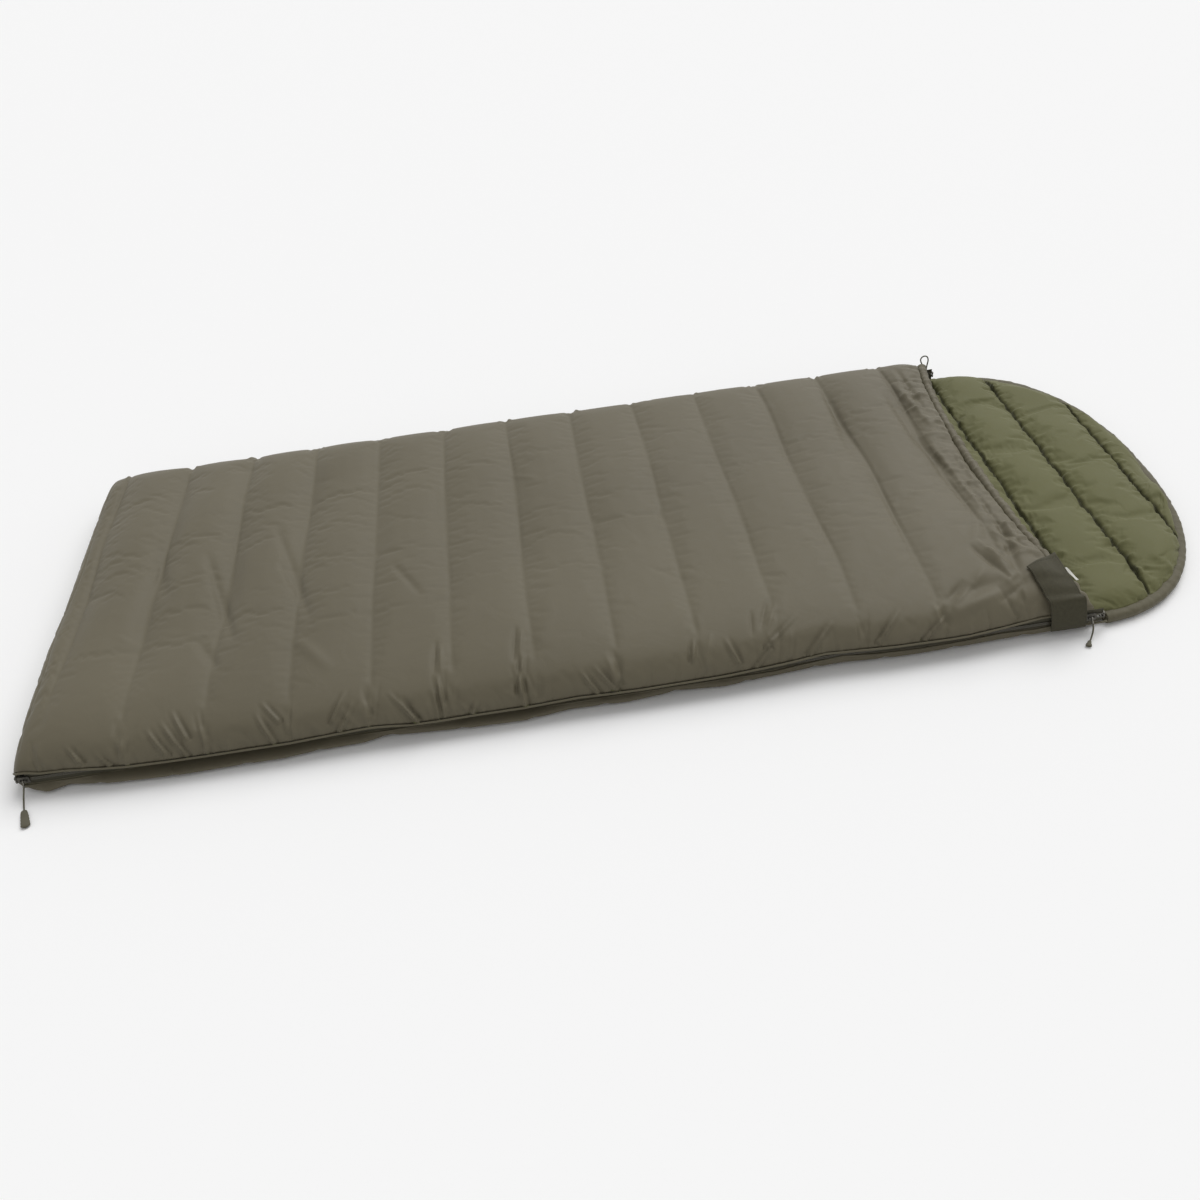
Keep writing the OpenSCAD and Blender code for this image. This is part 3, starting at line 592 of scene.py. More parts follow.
tip_turns = np.radians(np.linspace(55, 86, 18))
rows = np.unique(np.concatenate([
    foot_x + np.array([0, 0.001, 0.003, 0.006, 0.010, 0.015, 0.020]),
    base_last + base_pitch / 12 * np.arange(-180, -12),
    base_last + base_pitch / 28 * np.arange(-28, 57),
    hood_from + (hood_reach - pad_inset) * np.sin(tip_turns) ** (2 / hood_power),
]).round(5))
across = np.sin(np.linspace(-1, 1, 139) * math.pi / 2 * 0.86)
across /= across[-1]
x, u = np.meshgrid(rows, across, indexing="ij")
y = pad_half(x) * u
edge_z = base_edge_z + corner_rise(x)
edge_z = np.where(x > 0.80, edge_z - 0.004 * ramp(x, 0.80, 0.04), edge_z + base_lift(x, u))
in_hood = ramp(x, 0.74, 0.06)
rise = np.sqrt(np.maximum(0, 1 - np.abs(u) ** (10 + 8 * in_hood))) * foot_fall(x, u) * fall(pad_tip - x, 0.030)
lobe = np.abs(np.sin(np.pi * (x - base_last) / base_pitch)) ** (0.5 + 0.1 * in_hood)
seam_z, crown_z = 0.024 + 0.0075 * in_hood, 0.0385 + 0.001 * in_hood
swell = 0.0024 * (np.sin(9 * x + 4 * y) + np.sin(-7 * x + 13 * y + 1.1) + 0.6 * np.sin(31 * y + 17 * x))
top_z = edge_z + (seam_z - edge_z + (crown_z - seam_z) * lobe + swell * (0.3 + 0.7 * lobe)) * rise
top = np.stack([x + foot_inset(x, u), y, top_z], -1)
base_seams = base_last + base_pitch * np.arange(-15, 3)
seam_rows = [np.abs(rows - seam).argmin() for seam in base_seams]
top = billowed(top, seam_rows, 0.020, 0.0035)

top, held = finer(top, 2, 2), finer(np.stack([x, u, rise, edge_z], -1), 2, 2)
limits = (foot_x, pad_tip), (-1, 1), (0, 1), (0, 0.05)
x, u, rise, edge_z = (np.clip(held[..., k], *limits[k]) for k in range(4))
y = top[..., 1]
puckers = []
for k, seam in enumerate(base_seams):
    spacing, height = (0.011, 0.0042) if seam > 0.6 else (0.030, 0.002)
    puckers += seam_puckers(40 + k, seam, spacing, 0.022, height)
tug = np.interp(y, np.linspace(-0.45, 0.45, 91), np.random.default_rng(3).uniform(0.2, 1.0, 91))
wander = 0.0012 * np.sin(47 * y) + 0.0008 * np.sin(131 * y)
from_seam = from_seam_of(x + wander, base_last, base_pitch)
groove = 0.0085 * np.exp(-((from_seam / (0.0026 + 0.0012 * tug)) ** 1.6)) * (0.7 + 0.3 * tug)
creases = folds_along(x, y, puckers, 1.4)
top[..., 2] += (creases - groove) * np.clip(rise * 1.3 - 0.1, 0, 1)
top[..., 2] = np.maximum(top[..., 2], 0.004)

belly_out = along_near(bellies, x, u, 0.005 * ramp(x, 0.80, -0.1) * ramp(x, -1.05, 0.05))
under_side = np.clip((np.abs(u) - 0.90) / 0.10, 0, 1)
half = pad_half(x)
fills = np.where(
    under_side < 0.6, np.sin(math.pi / 2 * under_side / 0.6) * (0.10 * half + belly_out),
    0.10 * half + belly_out * (1 - ((under_side - 0.6) / 0.4) ** 2),
)
outward = np.where(under_side > 0, 0.90 * half + fills, np.abs(y)) * np.sign(y)
turned = ramp(under_side, 0.15, 0.85) ** 1.3
turned = np.maximum(turned, np.clip(1 - (x - foot_x) / 0.03, 0, 1) ** 2)
turned = np.maximum(turned, np.clip(1 - (pad_tip - x) / 0.03, 0, 1) ** 2)
quilting = (0.0045 * bump(from_seam, 0.008) + 0.4 * np.abs(creases)) * (1 - turned)
underside = np.stack([x + foot_inset(x, u), outward, edge_z * turned + quilting], -1)
base_pad = pad_between("base_pad", top, underside, lining_cloth, shell_cloth)
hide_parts("base_shell", "base_fill", "base_lining", "hood_shell", "hood_fill", "hood_lining")
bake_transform(base_pad)


# --- Band round the hood ----------------------------------------------
# A bias-cut strip of the shell cloth, folded over the edge of the hood and stitched through, so it
# gathers into small cross folds round the corners. Its middle line is the superellipse of the hood,
# x = reach x sin(turn)^(2 / 2.3), y = half width x cos(turn)^(2 / 2.3).
turn = np.radians(np.linspace(2.62, 177.38, 1501))
spine = np.stack([
    hood_from + (hood_reach - 0.013) * np.sin(turn) ** (2 / hood_power),
    (side_y - 0.013) * shaped(-np.cos(turn), 2 / hood_power),
], -1)
run = run_along(spine)
at = np.linspace(0, run[-1], 420)
spine = np.stack([np.interp(at, run, spine[:, i]) for i in (0, 1)], -1)
ahead = np.gradient(spine, axis=0)
out = ahead[:, ::-1] * (1, -1) / np.linalg.norm(ahead, axis=1, keepdims=True)
band_cloth = woven(
    "edge_fabric", (0.080, 0.071, 0.041), (0.122, 0.110, 0.070), 0.66, 0.08, crumple=0.003, crumple_scale=38
)
turn = full_turn(28)
rng = np.random.default_rng(7)
places = np.arange(0.01, at[-1], 0.021)
cross_folds = sum(
    rng.uniform(0.4, 1) * bump(at - c, rng.uniform(0.003, 0.007)) * rng.choice((1, -1))
    for c in places + rng.uniform(-0.008, 0.008, len(places))
)
stitch_dip = bump(turn - 2.35, 0.28)
half_width = 0.0125 * (1 + 0.10 * cross_folds[:, None] * np.sin(turn + 0.8)[None])
height = 0.0095 * (1 + 0.07 * np.sin(at * 41)[:, None] + 0.06 * cross_folds[:, None])
ring_out = half_width * shaped(np.cos(turn), 0.75)
ring_up = np.maximum(0.0110 + height * shaped(np.sin(turn), 0.8) * (1 - 0.22 * stitch_dip), 0.0004)
rings = np.concatenate([spine[:, None] + out[:, None] * ring_out[..., None], ring_up[..., None]], -1)
hood_band = lofted("hood_band", rings, band_cloth)
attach(hood_band, "hood")
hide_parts("hood_edge_band")


# --- Cover ------------------------------------------------------------
# The quilted top of the bag: satin khaki shell outside, olive lining inside, with cross channels that
# show as soft valleys. It is sewn into the foot seam and gathered onto the piping along both sides.
cover_first, cover_pitch, cover_last = -1.019, 0.1415, 0.679


def hem_line(share):
    """The head edge of the cover: 46 mm further towards the head at the sides than in the middle."""
    return 0.738 + 0.046 * np.abs(share) ** 3


edge_gap = 0.003
valley_depth = np.array([1.0, 1.1, 1.05, 0.85, 0.65, 0.55, 0.6, 0.45, 0.4, 0.35, 0.5, 0.75, 0.9])
seams = cover_first + cover_pitch * np.arange(13)
sags = np.array([
    (-1.06, 0), (-1.02, 1.5), (-0.96, 2), (-0.91, 4.5), (-0.87, 6), (-0.74, 7.5), (-0.60, 7.5), (-0.51, 5),
    (-0.47, 4), (-0.43, 6), (-0.39, 9), (-0.35, 10), (-0.28, 9), (-0.20, 9.5), (-0.14, 8), (-0.10, 7),
    (-0.05, 8.5), (0.01, 9), (0.13, 8.5), (0.19, 7), (0.25, 5), (0.32, 1.5), (0.42, 4), (0.55, 6.5), (0.64, 4),
    (0.70, 1), (0.80, 1),
])
overhangs = np.array([
    (-1.06, 0), (-1.045, 1), (-1.02, 6), (-0.98, 8), (-0.93, 13), (-0.88, 17), (-0.80, 19), (-0.60, 19),
    (-0.50, 16), (-0.45, 15), (-0.40, 18), (-0.20, 18), (-0.11, 16), (0.00, 18), (0.15, 17), (0.25, 13),
    (0.33, 7), (0.45, 13), (0.58, 13), (0.66, 6), (0.70, 2), (0.715, 0),
])


def edge_sag(x, u):
    """How far the cover's edge hangs below its straight line."""
    far = 0.0018 * (1 + np.sin(13 * x) * np.cos(5 * x + 1))
    return along_near(sags, x, u, far) * ramp(x, -1.06, 0.02)


def cover_edge(x, u):
    """The height of the cover's lower edge."""
    return cover_edge_z - corner_rise(x) - edge_sag(x, u)


def cover_rise(x, u):
    """How the cover rises from its edges: 0 at the foot and the sides, 1 over most of the bag."""
    return np.sqrt(np.maximum(0, 1 - np.abs(u) ** np.where(u < 0, 6.5, 10))) * foot_fall(x, u)


def edge_out(x, u):
    """How far the cover's edge stands out beyond the zip."""
    return along_near(overhangs, x, u, -0.0012 * ramp(x, -1.05, 0.05))


def off_cover_seam(x, u):
    """Distance to the nearest quilting seam of the cover. The seams wander a little, and differently."""
    wander = 0.006 * np.sin(4.3 * u + 2.7 * np.round((x - cover_first) / cover_pitch)) * (1 - np.abs(u) ** 4)
    return from_seam_of(x + wander, cover_first, cover_pitch)


def cover_height(x, u):
    """The shell's height: valleys at the seams, a rounded drop at the foot, the sides and the hem."""
    edge = cover_edge(x, u) + edge_gap
    off = off_cover_seam(x, u)
    valley = 0.55 * bump(off, 0.022) + 0.45 * (1 - off / (cover_pitch / 2)) ** 1.5
    depth = np.interp(x, seams, valley_depth)
    depth = depth * np.interp(u, [-0.97, -0.84, -0.5, -0.1, 0.80, 0.97], [0.1, 0.2, 0.6, 1, 1, 0.3])
    crown = 0.1015 - 0.0135 * depth * valley
    to_hem = np.clip(1 - (hem_line(u) - x) / 0.055, 0, 1)
    return edge + (crown - edge - 0.014 * to_hem**2) * cover_rise(x, u)


rows = np.concatenate([
    foot_x + 0.056 * (np.linspace(0, 1, 16)[:-1]) ** 1.8,
    (seams[:-1, None] + cover_pitch * np.linspace(0, 1, 17)[None, :-1]).ravel(),
    [cover_last],
])
profile_u = np.linspace(-1, 1, 4001)
profile = np.stack([profile_u * side_y, cover_height(np.full(4001, -0.3), profile_u)], -1)
across = 2 * even_steps(profile, 0.0082) - 1
x, u = np.meshgrid(rows, across, indexing="ij")
last_rows = np.linspace(0, 1, 11)[1:, None]
x = np.vstack([x, cover_last + last_rows * (hem_line(across)[None] - cover_last)])
u = np.vstack([u, np.repeat(across[None], 10, 0)])
y = (side_y - drawn_in(x)) * u + edge_out(x, u) * np.sign(u) * np.abs(u) ** 5
swell = 0.0022 * (np.sin(7 * x + 11 * y) + np.sin(-13 * x + 9 * y + 2) + 0.5 * np.sin(23 * y - 11 * x))
shell = np.stack([x + foot_inset(x, u), y, cover_height(x, u)], -1)
shell += surface_normals(shell) * (swell * (1 - np.abs(u) ** 6) * foot_fall(x, u))[..., None]
seam_rows = [np.abs(rows - seam).argmin() for seam in seams]
shell = billowed(shell, np.ix_(seam_rows, np.flatnonzero(np.abs(across) < 0.86)), 0.004, 0.0020)
shell, held = finer(shell, 4, 2), finer(np.stack([x, u], -1), 4, 2)
x, u = held[..., 0], np.clip(held[..., 1], -1, 1)
y = shell[..., 1]
across = u[0]

# Creases and gathers. Those along the sides are laid out by the distance up from the edge.
rng = np.random.default_rng(11)
middle = len(y) // 2
side_run = run_along(shell[middle, :, 1:])
from_edge = np.minimum(side_run, side_run[-1] - side_run)[None] + 0 * x
gathers = {-1: [], 1: []}
for side, folds in gathers.items():
    place = -1.05
    while place < 0.74:
        run, slant = rng.uniform(0.014, 0.050), rng.uniform(-0.3, 1.2) * (1 if place > -0.15 else -1)
        height = rng.choice((1, -1)) * rng.uniform(0.0006, 0.0020)
        folds.append((place + slant * run, run, place, 0.0, height, rng.uniform(0.0026, 0.0046)))
        place += rng.uniform(0.008, 0.026)
    for seam in np.repeat(seams, 5):
        run, slant = rng.uniform(0.04, 0.09), rng.uniform(-0.35, 0.35)
        start = seam + rng.uniform(-0.012, 0.012)
        low, height = rng.uniform(0.0, 0.02), rng.choice((1, -1)) * rng.uniform(0.0012, 0.0030)
        folds.append((start + slant * run, run, start, low, height, rng.uniform(0.0030, 0.0050)))
pleats = [
    (-838, 62, -803, 12), (-815, 74, -770, 3), (-796, 90, -768, 36), (-653, 62, -625, 6), (-644, 80, -612, 42),
    (-496, 76, -525, 22), (-484, 50, -515, 2), (-428, 62, -379, 2), (-410, 50, -384, 10), (-973, 46, -948, 14),
    (-926, 28, -899, 4), (-342, 92, -337, 34), (-334, 96, -336, 2), (-348, 60, -344, 6), (-188, 104, -202, 28),
    (-206, 84, -196, 4), (-276, 22, -288, 2), (-99, 48, -70, 4), (-75, 52, -37, 2), (107, 76, 97, 36),
    (157, 66, 176, 18), (295, 90, 227, 38), (251, 46, 203, 2), (350, 60, 300, 8), (470, 70, 420, 12),
    (560, 58, 500, 6),
]
for fold in pleats:
    ax, high, bx, low = np.array(fold) / 1000
    way = 1 if bx > ax else -1
    for shift, lift in ((0, 0.0042), (way * 0.0068, -0.0046), (-way * 0.0075, -0.0020)):
        gathers[-1].append((ax + shift, high, bx + shift, max(0, low - 0.004), lift, 0.0031))
crease = np.zeros_like(x)
for side, folds in gathers.items():
    half = u * side > 0
    crease[half] += folds_along(x[half], from_edge[half], folds, 1.3, True)
long_folds = np.array([
    (-774, -217, -723, -315, -4, 10), (677, -414, 665, -298, 7, 11), (690, -391, 718, -221, -6, 9),
    (715, -320, 729, -224, 5, 8), (546, -437, 651, -410, 6, 10), (560, -400, 676, -385, -5, 12),
    (606, -392, 643, -350, 4, 10), (640, -300, 700, -180, 4, 12), (662, 300, 663, 50, -6, 12),
    (665, 110, 700, -100, -6, 9), (684, 70, 708, -210, 5, 7), (690, 330, 708, 110, 5, 8),
    (712, 390, 716, 180, -5, 7), (700, -60, 722, -330, -5, 7), (724, 50, 728, -150, 4, 6),
    (540, 330, 522, 20, -4, 10), (-790, 50, -700, -260, -5, 10), (-660, 120, -560, -240, -4.5, 10),
    (-640, -20, -600, -120, -3, 6), (-420, -80, -360, -200, -3, 8), (-900, 120, -850, -100, -3, 12),
    (-600, -250, -520, -360, 3, 12),
]) / 1000
crease += folds_along(x, y, long_folds)
sharp_folds = np.array([
    (636, -285, 680, -402, -7.5, 6), (652, -275, 694, -385, 5.5, 6), (702, -395, 640, -428, -5, 5),
    (696, -375, 650, -400, 4, 5), (612, -380, 556, -428, 4.5, 5.5), (596, -372, 540, -424, -5, 5.5),
    (575, -400, 520, -430, 3.5, 4.5), (668, -330, 716, -300, -4, 5), (690, -250, 730, -330, 4.5, 5),
    (702, -235, 742, -320, -5, 5), (250, -345, 222, -415, -4, 4.5), (262, -360, 232, -420, 3.5, 4.5),
    (215, -370, 205, -425, -3.5, 4), (-338, -330, -345, -405, -4.5, 4.2), (-330, -340, -332, -400, 3.5, 4),
    (-196, -325, -207, -405, -4.5, 4.2), (-186, -335, -196, -400, 3.5, 4),
]) / 1000
crease += folds_along(x, y, sharp_folds, 1.3)
hem_gathers, place = [], -0.43
while place < 0.43:
    edge = float(hem_line(place / side_y))
    run, slant = rng.uniform(0.02, 0.075), rng.uniform(-0.6, 0.6)
    height = rng.choice((1, -1)) * rng.uniform(0.0018, 0.0046)
    hem_gathers.append((edge + 0.004, place, edge - run, place + slant * run, height, rng.uniform(0.0035, 0.006)))
    place += rng.uniform(0.008, 0.024)
crease += folds_along(x, y, hem_gathers, 1.5)
top_folds = []
for seam in np.repeat(seams, 5):
    place, run = rng.uniform(-0.40, 0.40), rng.uniform(0.02, 0.06)
    way, slant = rng.choice((-1, 1)), rng.uniform(-0.9, 0.9)
    line = seam - way * 0.008, place, seam + way * run, place + slant * run
    top_folds.append((*line, rng.choice((1, -1)) * rng.uniform(0.0005, 0.0013), rng.uniform(0.005, 0.012)))
crease += folds_along(x, y, top_folds)
foot_seam = -0.0022 * bump(x - foot_x - 0.020 - 0.003 * np.sin(19 * y), 0.0030) * (np.abs(u) < 0.93)
line_depth = np.interp(x, seams, [0.8, 0.3, 0.3, 0.2, 0.1, 0.2, 0.4, 0.2, 0.2, 0.3, 0.6, 1.0, 1.0])
seam_line = -0.0022 * bump(off_cover_seam(x, u), 0.0050) * line_depth * ramp(u, -0.8, 0.4)
crease += foot_seam + seam_line
shell += surface_normals(shell) * (crease * np.clip(from_edge / 0.003, 0.15, 1))[..., None]


def belly_height(x, u):
    """The lining's height inside the bag: it hangs below its seams, and rises from the edges as the shell does."""
    edge = cover_edge(x, u) + edge_gap
    lobe = np.abs(np.sin(np.pi * (x - cover_first) / cover_pitch)) ** 0.6
    return edge + (0.062 - edge - 0.011 * lobe) * cover_rise(x, u)


puckers = sum((seam_puckers(80 + k, seam, 0.022, 0.030, 0.003) for k, seam in enumerate(seams)), [])
belly_z = belly_height(x, u) + folds_along(x, y, puckers) * np.clip(from_edge / 0.02, 0, 1)
belly_z = np.minimum(belly_z, shell[..., 2] - 0.003 * np.clip(from_edge / 0.01, 0, 1))
belly_z = np.minimum(belly_z, 0.0432 + 1.5 * np.maximum(0, 0.4445 - np.abs(y)))
belly = np.stack([shell[..., 0], y, belly_z], -1)
cover_lining_cloth = lining("cover_lining_fabric", cover_last, cover_pitch)
cover = pad_between("cover_pad", shell, belly, shell_cloth, cover_lining_cloth)
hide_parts(*(f"cover_{head}{layer}" for head in ("", "head_") for layer in ("shell", "fill", "lining")))
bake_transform(cover)


# --- Hem --------------------------------------------------------------
# The head edge of the cover is turned into a 26 mm casing of the shell cloth, stitched along its foot
# side and gathered, so it puckers between the stitches.
share = np.linspace(-1, 1, 361)
hem_y = side_y * share
high = np.interp(share, across, cover_height(hem_line(across), across))
low = np.interp(share, across, belly_height(hem_line(across), across))
rng = np.random.default_rng(5)
places = np.arange(-0.44, 0.44, 0.0135)
ripple = sum(
    rng.uniform(0.3, 1) * rng.choice((1, -1)) * bump(hem_y - c, rng.uniform(0.003, 0.006))
    for c in places + rng.uniform(-0.005, 0.005, len(places))
)
turn = full_turn(24)
reach = 0.0115 * (1 + np.cos(turn)[None] * (1 + 0.26 * ripple[:, None] * (np.cos(turn) > 0)))
middle, half = (high + low) / 2, (high - low) / 2 - 0.0012
rings = np.stack([
    hem_line(share)[:, None] - 0.0005 + reach,
    hem_y[:, None] + 0.0016 * ripple[:, None] * np.sin(turn),
    middle[:, None] + (half[:, None] + 0.0030 * ripple[:, None]) * np.sin(turn),
], -1)
hem = lofted("hem", rings, shell_cloth)
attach(hem, "head_cover")
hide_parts("cover_hem")


# --- Piping -----------------------------------------------------------
# A cord in a bias strip of the shell cloth, sewn into the edges of the cover and of the base along both
# sides, and round the foot. The cover is gathered onto it, so it waves and its strip puckers. Behind each
# foot slider a fold of the same cloth closes the corner.
def joined(pieces):
    """One object made of several."""
    with bpy.context.temp_override(active_object=pieces[0], selected_editable_objects=pieces):
        bpy.ops.object.join()
    return pieces[0]


def puckered_tube(name, route, radius, seed, spacing, depth):
    """A tube along a route whose radius falls at seeded uneven places: radius x (1 - depth x sum of bumps)."""
    rng = np.random.default_rng(seed)
    run = run_along(route)
    nips = np.arange(0, run[-1], spacing)
    nips += rng.uniform(-0.4, 0.4, len(nips)) * spacing
    deep = rng.uniform(0.3, 1, len(nips))
    pinch = (deep * bump(run[:, None] - nips, spacing * 0.22)).sum(axis=1)
    across, above = ring_frames(route, (0, 0, 1))
    a = full_turn(12)[None, :, None]
    size = radius * (1 - depth * pinch)[:, None, None]
    rings = route[:, None] + size * (np.cos(a) * across[:, None] + np.sin(a) * above[:, None])
    return lofted(name, rings, piping_cloth)


piping_cloth = woven(
    "piping_fabric", (0.082, 0.072, 0.045), (0.124, 0.109, 0.070), 0.64, 0.06, crumple=0.0006, crumple_scale=90
)


def piping(name, start, end, height, out, others=()):
    """Both sides' piping: its height and how far it stands out are functions of x and the side, -1 or 1."""
    x = np.arange(start, end, 0.0035)
    tubes = []
    for side in (-1, 1):
        edge = np.full_like(x, side)
        route = np.stack([x, side * (0.4482 - drawn_in(x) + out(x, edge)), height(x, edge)], -1)
        tubes.append(puckered_tube(f"{name}_{side}", route, 0.0020, 31 + side, 0.009, 0.16))
    piece = joined(tubes + list(others))
    piece.name = name
    return piece


cover_piping = piping("cover_edge_piping", -1.0715, 0.784, lambda x, side: cover_edge(x, side) + 0.0025, edge_out)
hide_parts("cover_piping", "cover_head_piping")
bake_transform(cover_piping)
foot_y = np.linspace(-0.440, 0.440, 260)
past = np.clip(np.abs(foot_y) - side_y + corner_radius, 0, None)
inset = foot_inset(foot_x, np.clip(foot_y / (side_y - corner_radius), -1, 1))
foot_line = np.stack([
    foot_x + 0.0255 - np.sqrt(corner_radius**2 - past**2) + inset, foot_y, np.full_like(foot_y, 0.0315),
], -1)
foot_pieces = [puckered_tube("foot", foot_line, 0.0030, 41, 0.011, 0.12)]
x, a = np.linspace(foot_x + 0.0015, foot_x + 0.036, 12)[:, None], full_turn(16)
for side in (-1, 1):
    foot_pieces.append(lofted("gusset", np.stack([
        x + 0 * a, side * (0.4315 - drawn_in(x) + 0.0030 * np.cos(a)),
        0.0300 + (base_edge_z - corner_rise(x)) * np.sin(a),
    ], -1), piping_cloth))
base_piping = piping(
    "base_edge_piping", -1.067, 0.8355, lambda x, side: base_edge_z - 0.0025 + corner_rise(x) + base_lift(x, side),
    lambda x, side: 0 * x, foot_pieces,
)
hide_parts("base_piping")
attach(base_piping, "bag")


# --- Draught baffles --------------------------------------------------
# A roll of the lining cloth filled with wadding hangs behind each zip and stops the draught. It is sewn
# to the cover's lower edge, with a stitch through it at every quilting seam.
x, a = np.arange(-1.041, 0.784, 0.006)[:, None], full_turn(18)
nip = 1 - 0.22 * bump(from_seam_of(x, cover_first, cover_pitch), 0.010)
nip = nip * (1 + 0.05 * np.sin(61 * x) + 0.04 * np.sin(37 * x + 1))
rolls = [lofted(f"baffle_{side}", np.stack([
    x + 0 * a, side * (0.4322 + 0.0066 * nip * np.cos(a)), 0.0382 + 0.0060 * nip * np.sin(a),
], -1), cover_lining_cloth) for side in (-1, 1)]
baffles = joined(rolls)
baffles.name = "draught_rolls"
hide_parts("draught_baffles", "head_draught_baffles")
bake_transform(baffles)


# --- Zips -------------------------------------------------------------
# Two-way zips: moulded acetal teeth on dark woven tapes, nickel-plated sliders and stops, and stamped
# bails that the pull cords are tied through. Their solids are kept and only finished here.
def dressed(material, *names):
    """Puts one material on kept CAD nodes."""
    for name in names:
        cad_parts[name].data.materials.clear()
        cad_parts[name].data.materials.append(material)


def twill_tape(name, dark, light):
    """Herringbone tape: ribs = sin(x + |z in a 3 mm stripe|), darker between the ribs."""
    f = Finish(name)
    where, (x, y, z) = f.place()
    stripe = f.add("Math", {"operation": "PINGPONG"}, {0: z, 1: 0.0015})
    ribs = ((x + stripe) * (2 * math.pi / 0.0011)).sine() * 0.5 + 0.5
    drift = f.noise(where, 45, 2.0, 0.5)
    share = (ribs * 0.55 + drift * 0.6 - 0.1).clipped()
    return f.wear(
        Base_Color=f.blend_colours(share, dark, light),
        Roughness=(0.78 + (drift - 0.5) * 0.15).clipped(),
        Normal=f.relief(ribs, 0.00025, 0.7),
        Specular_IOR_Level=0.25,
    )


def plated_metal(name, dark, light, tarnish):
    """Nickel plate that is duller and darker in patches, with fine scratches drawn out along X."""
    f = Finish(name)
    where, _ = f.place()
    patch = f.noise(where, 160, 4.0, 0.6)
    drawn = f.add("Mapping", {}, {"Vector": where, "Scale": (90, 1600, 1600)})
    scratch = f.noise(drawn, 1.0, 2.0, 0.6)
    return f.wear(
        Base_Color=f.blend_colours((patch * 1.4 - 0.25).clipped(), dark, light),
        Metallic=1.0,
        Roughness=(tarnish + patch * 0.2 + scratch * 0.12).clipped(),
        Normal=f.relief(scratch, 0.0001, 0.35),
    )


rows_of_zip = [f"{side}_{row}_" for side in ("near", "far") for row in ("base", "cover", "cover_head")]
ends_of_zip = [f"{side}_{end}_" for side in ("near", "far") for end in ("head", "foot")]
tape_cloth = twill_tape("zip_tape", (0.036, 0.033, 0.021), (0.076, 0.070, 0.047))
dressed(tape_cloth, *(row + "tape" for row in rows_of_zip))
dressed(
    grained(
        "zip_teeth", (0.038, 0.034, 0.022), (0.078, 0.070, 0.047), (420, 2.0, 0.5), (30, 3.0, 0.6),
        (0.3, 0.7, 0), (0.32, 0.2), (0.0002, 0.5),
    ),
    *(row + "teeth" for row in rows_of_zip),
)
dressed(
    plated_metal("zip_metal", (0.060, 0.057, 0.048), (0.150, 0.143, 0.125), 0.38),
    "foot_zip_stops", "head_zip_stops", "cover_zip_stops", *(end + "slider" for end in ends_of_zip),
)
dressed(
    plated_metal("bail_metal", (0.095, 0.090, 0.077), (0.230, 0.220, 0.195), 0.34),
    *(end + "bail" for end in ends_of_zip),
)


# --- Closure tab ------------------------------------------------------
# A dark webbing tab sewn to the cover beside the hem. It lies over the shoulder and the zip, with a
# stitched border, and is held by a hook patch under it and a loop patch on the base.
def webbing(name, dark, light, wide, deep):
    """Coarse canvas with a row of stitches round the border: UV is the distance across and down in metres.
    Threads = sin(u) x sin(v). The stitches are dashes where the distance to the border is 3 mm."""
    f = Finish(name)
    where, (u, v, _) = f.place("UV")
    threads = (u * (math.pi / 0.0009)).sine() * (v * (math.pi / 0.0009)).sine() * 0.5 + 0.5
    from_side = wide / 2 - (u - wide / 2).size()
    from_end = deep / 2 - (v - deep / 2).size()
    border = from_side.math("MINIMUM", from_side, from_end)
    line = (1 - (border - 0.0032).size() / 0.0011).clipped()
    dash = ((u + v) * (2 * math.pi / 0.0034)).sine() * 0.5 + 0.5
    rim = (1 - border / 0.0022).clipped()
    mottle = f.noise(where, 140, 3.0, 0.6)
    share = (threads * 0.45 + mottle * 0.7 - 0.15).clipped()
    cloth = f.blend_colours(share, dark, light)
    stitched = f.blend_colours((line * dash * 0.8).clipped(), dark, light)
    height = threads * 0.25 - line * 1.1 + line * dash * 0.9 + rim * 0.5 + mottle * 0.3
    return f.wear(
        Base_Color=f.blend_colours((line * 0.7).clipped(), cloth, stitched),
        Roughness=(0.80 + (mottle - 0.5) * 0.1).clipped(),
        Normal=f.relief(height, 0.0006, 0.9),
        Sheen_Weight=0.06,
        Specular_IOR_Level=0.25,
    )


def cover_over(place_x, place_y):
    """The cover's highest point within 9 mm of each place, or round the nearest one for a place past the hem."""
    p = shell.reshape(-1, 3)
    p = p[(p[:, 0] > 0.68) & (p[:, 1] < -0.30)]
    gap = np.hypot(p[None, :, 0] - place_x[:, None], p[None, :, 1] - place_y[:, None])
    reach = np.maximum(0.009, gap.min(axis=1, keepdims=True) + 0.003)
    return np.where(gap < reach, p[None, :, 2], 0).max(axis=1)


s_across = np.linspace(0, 1, 29)
sewn_x, sewn_y = 0.709 + 0.068 * s_across, -0.3705 + 0.0385 * s_across
end_x = 0.730 + 0.062 * s_across
tab_rows = []
for down, out_y, high in (
    (0, sewn_y, None), (0.13, -0.385, None), (0.26, -0.402, None), (0.40, -0.418, None), (0.53, -0.432, None),
    (0.66, -0.4452, 0.0745), (0.76, -0.4505, 0.0600), (0.84, -0.4528, 0.0470), (0.91, -0.4538, 0.0340),
    (0.97, -0.4534, 0.0215), (1, -0.4528, 0.0150),
):
    row_x = sewn_x + (end_x - sewn_x) * down
    row_y = out_y + 0 * row_x
    row_z = high + 0 * row_x if high else cover_over(row_x, row_y) + 0.0021
    if not high:
        row_z = np.maximum(np.convolve(np.pad(row_z, 5, "edge"), np.ones(11) / 11, "valid"), row_z - 0.0008)
    tab_rows.append(np.stack([row_x, row_y, row_z], -1))
tab_grid = smooth_line(np.reshape(tab_rows, (len(tab_rows), -1)), 91).reshape(91, -1, 3)
curl = 0.0010 * np.sin(math.pi * s_across)[None] * np.sin(np.linspace(0, 9, 91))[:, None]
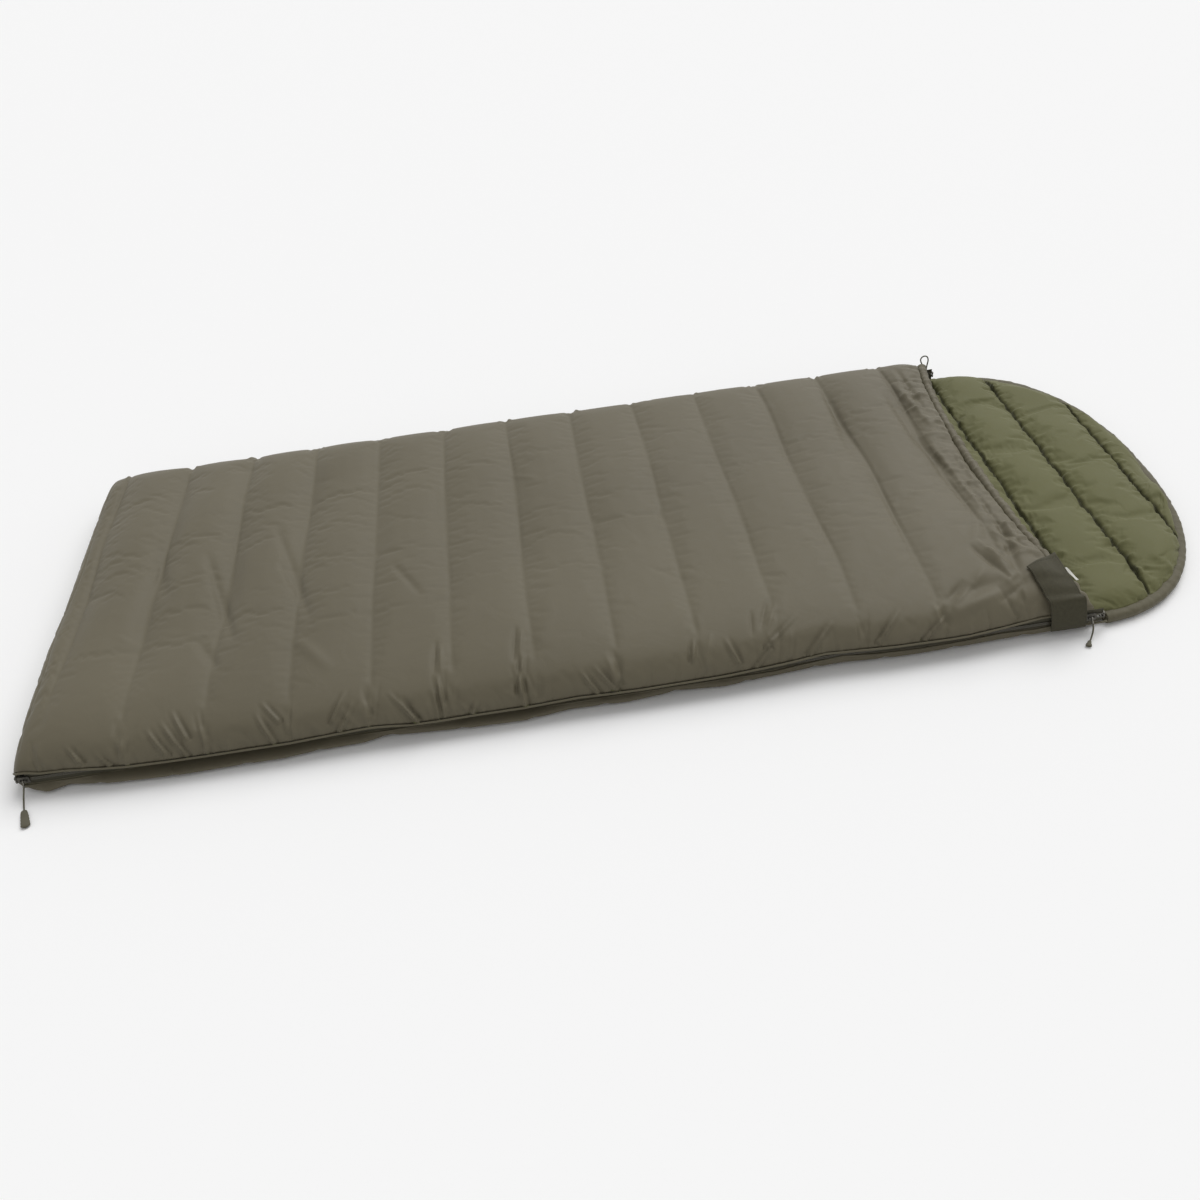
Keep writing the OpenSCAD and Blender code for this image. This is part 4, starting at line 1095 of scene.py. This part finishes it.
tab_grid += surface_normals(tab_grid) * (curl * np.clip(np.linspace(0, 3, 91), 0, 1)[:, None])[..., None]
wide = float(np.linalg.norm(np.diff(tab_grid, axis=1), axis=2).sum(axis=1).mean())
deep = float(np.linalg.norm(np.diff(tab_grid, axis=0), axis=2).sum(axis=0).mean())
n, m = tab_grid.shape[:2]
quads = quads_of(np.arange(n * m).reshape(n, m))
tab_mesh = skin("tab", tab_grid, quads.tolist())
cut_out = np.stack([quads % m / (m - 1) * wide, quads // m / (n - 1) * deep], -1)
tab_mesh.uv_layers.new(name="cut").data.foreach_set("uv", cut_out.ravel().astype(np.float32))
tab_mesh.polygons.foreach_set("use_smooth", [True] * len(tab_mesh.polygons))
tab_mesh.materials.append(webbing("tab_fabric", (0.026, 0.023, 0.012), (0.075, 0.068, 0.040), wide, deep))
tab = placed("webbing_tab", tab_mesh)
thick = tab.modifiers.new("thickness", "SOLIDIFY")
thick.thickness = 0.0018
thick.offset = 1
thick.use_even_offset = True
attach(tab, "tab")
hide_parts("closure_tab")


for name, patch, shades, scale, height in (
    ("hooks", "tab_hook_patch", ((0.020, 0.018, 0.011), (0.075, 0.070, 0.048)), 1500, 0.0006),
    ("loops", "base_loop_patch", ((0.026, 0.024, 0.014), (0.090, 0.082, 0.054)), 700, 0.0010),
):
    dressed(grained(
        name, *shades, (scale, 3.0, 0.7), (60, 2.0, 0.5), (0.7, 0.4, -0.1), (0.85, 0), (height, 0.9),
        Specular_IOR_Level=0.2,
    ), patch)


# --- Side label -------------------------------------------------------
# A short folded ribbon of pale satin, caught in the hem beside the tab. It is blank.
def satin_ribbon(name, dark, light):
    """Satin weave: fine floats along the ribbon and a slow mottle."""
    f = Finish(name)
    where, (_, y, _) = f.place()
    floats = (y * (2 * math.pi / 0.0004)).sine() * 0.5 + 0.5
    mottle = f.noise(where, 90, 2.0, 0.5)
    return f.wear(
        Base_Color=f.blend_colours((mottle * 0.8 + floats * 0.2).clipped(), dark, light),
        Roughness=(0.42 + mottle * 0.15).clipped(),
        Normal=f.relief(floats, 0.0001, 0.4),
        Sheen_Weight=0.1,
    )


run, a = np.linspace(-0.018, 0.018, 37)[:, None], full_turn(20)
section = 0.0028 * shaped(np.cos(a), 0.3), 0.0005 * shaped(np.sin(a), 0.5)
rings = np.stack([
    section[0] + 0 * run, run + 0 * a, section[1] + 0.0006 * np.sin(run * 150) * (section[0] / 0.0028),
], -1)
lie = Matrix.Rotation(math.radians(12), 3, "Z") @ Matrix.Rotation(math.radians(4), 3, "X")
satin = satin_ribbon("label_fabric", (0.48, 0.47, 0.42), (0.66, 0.65, 0.60))
label = lofted("folded_label", rings @ np.array(lie).T + (0.794, -0.372, 0.069), satin)
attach(label, "head_cover")
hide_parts("side_label")
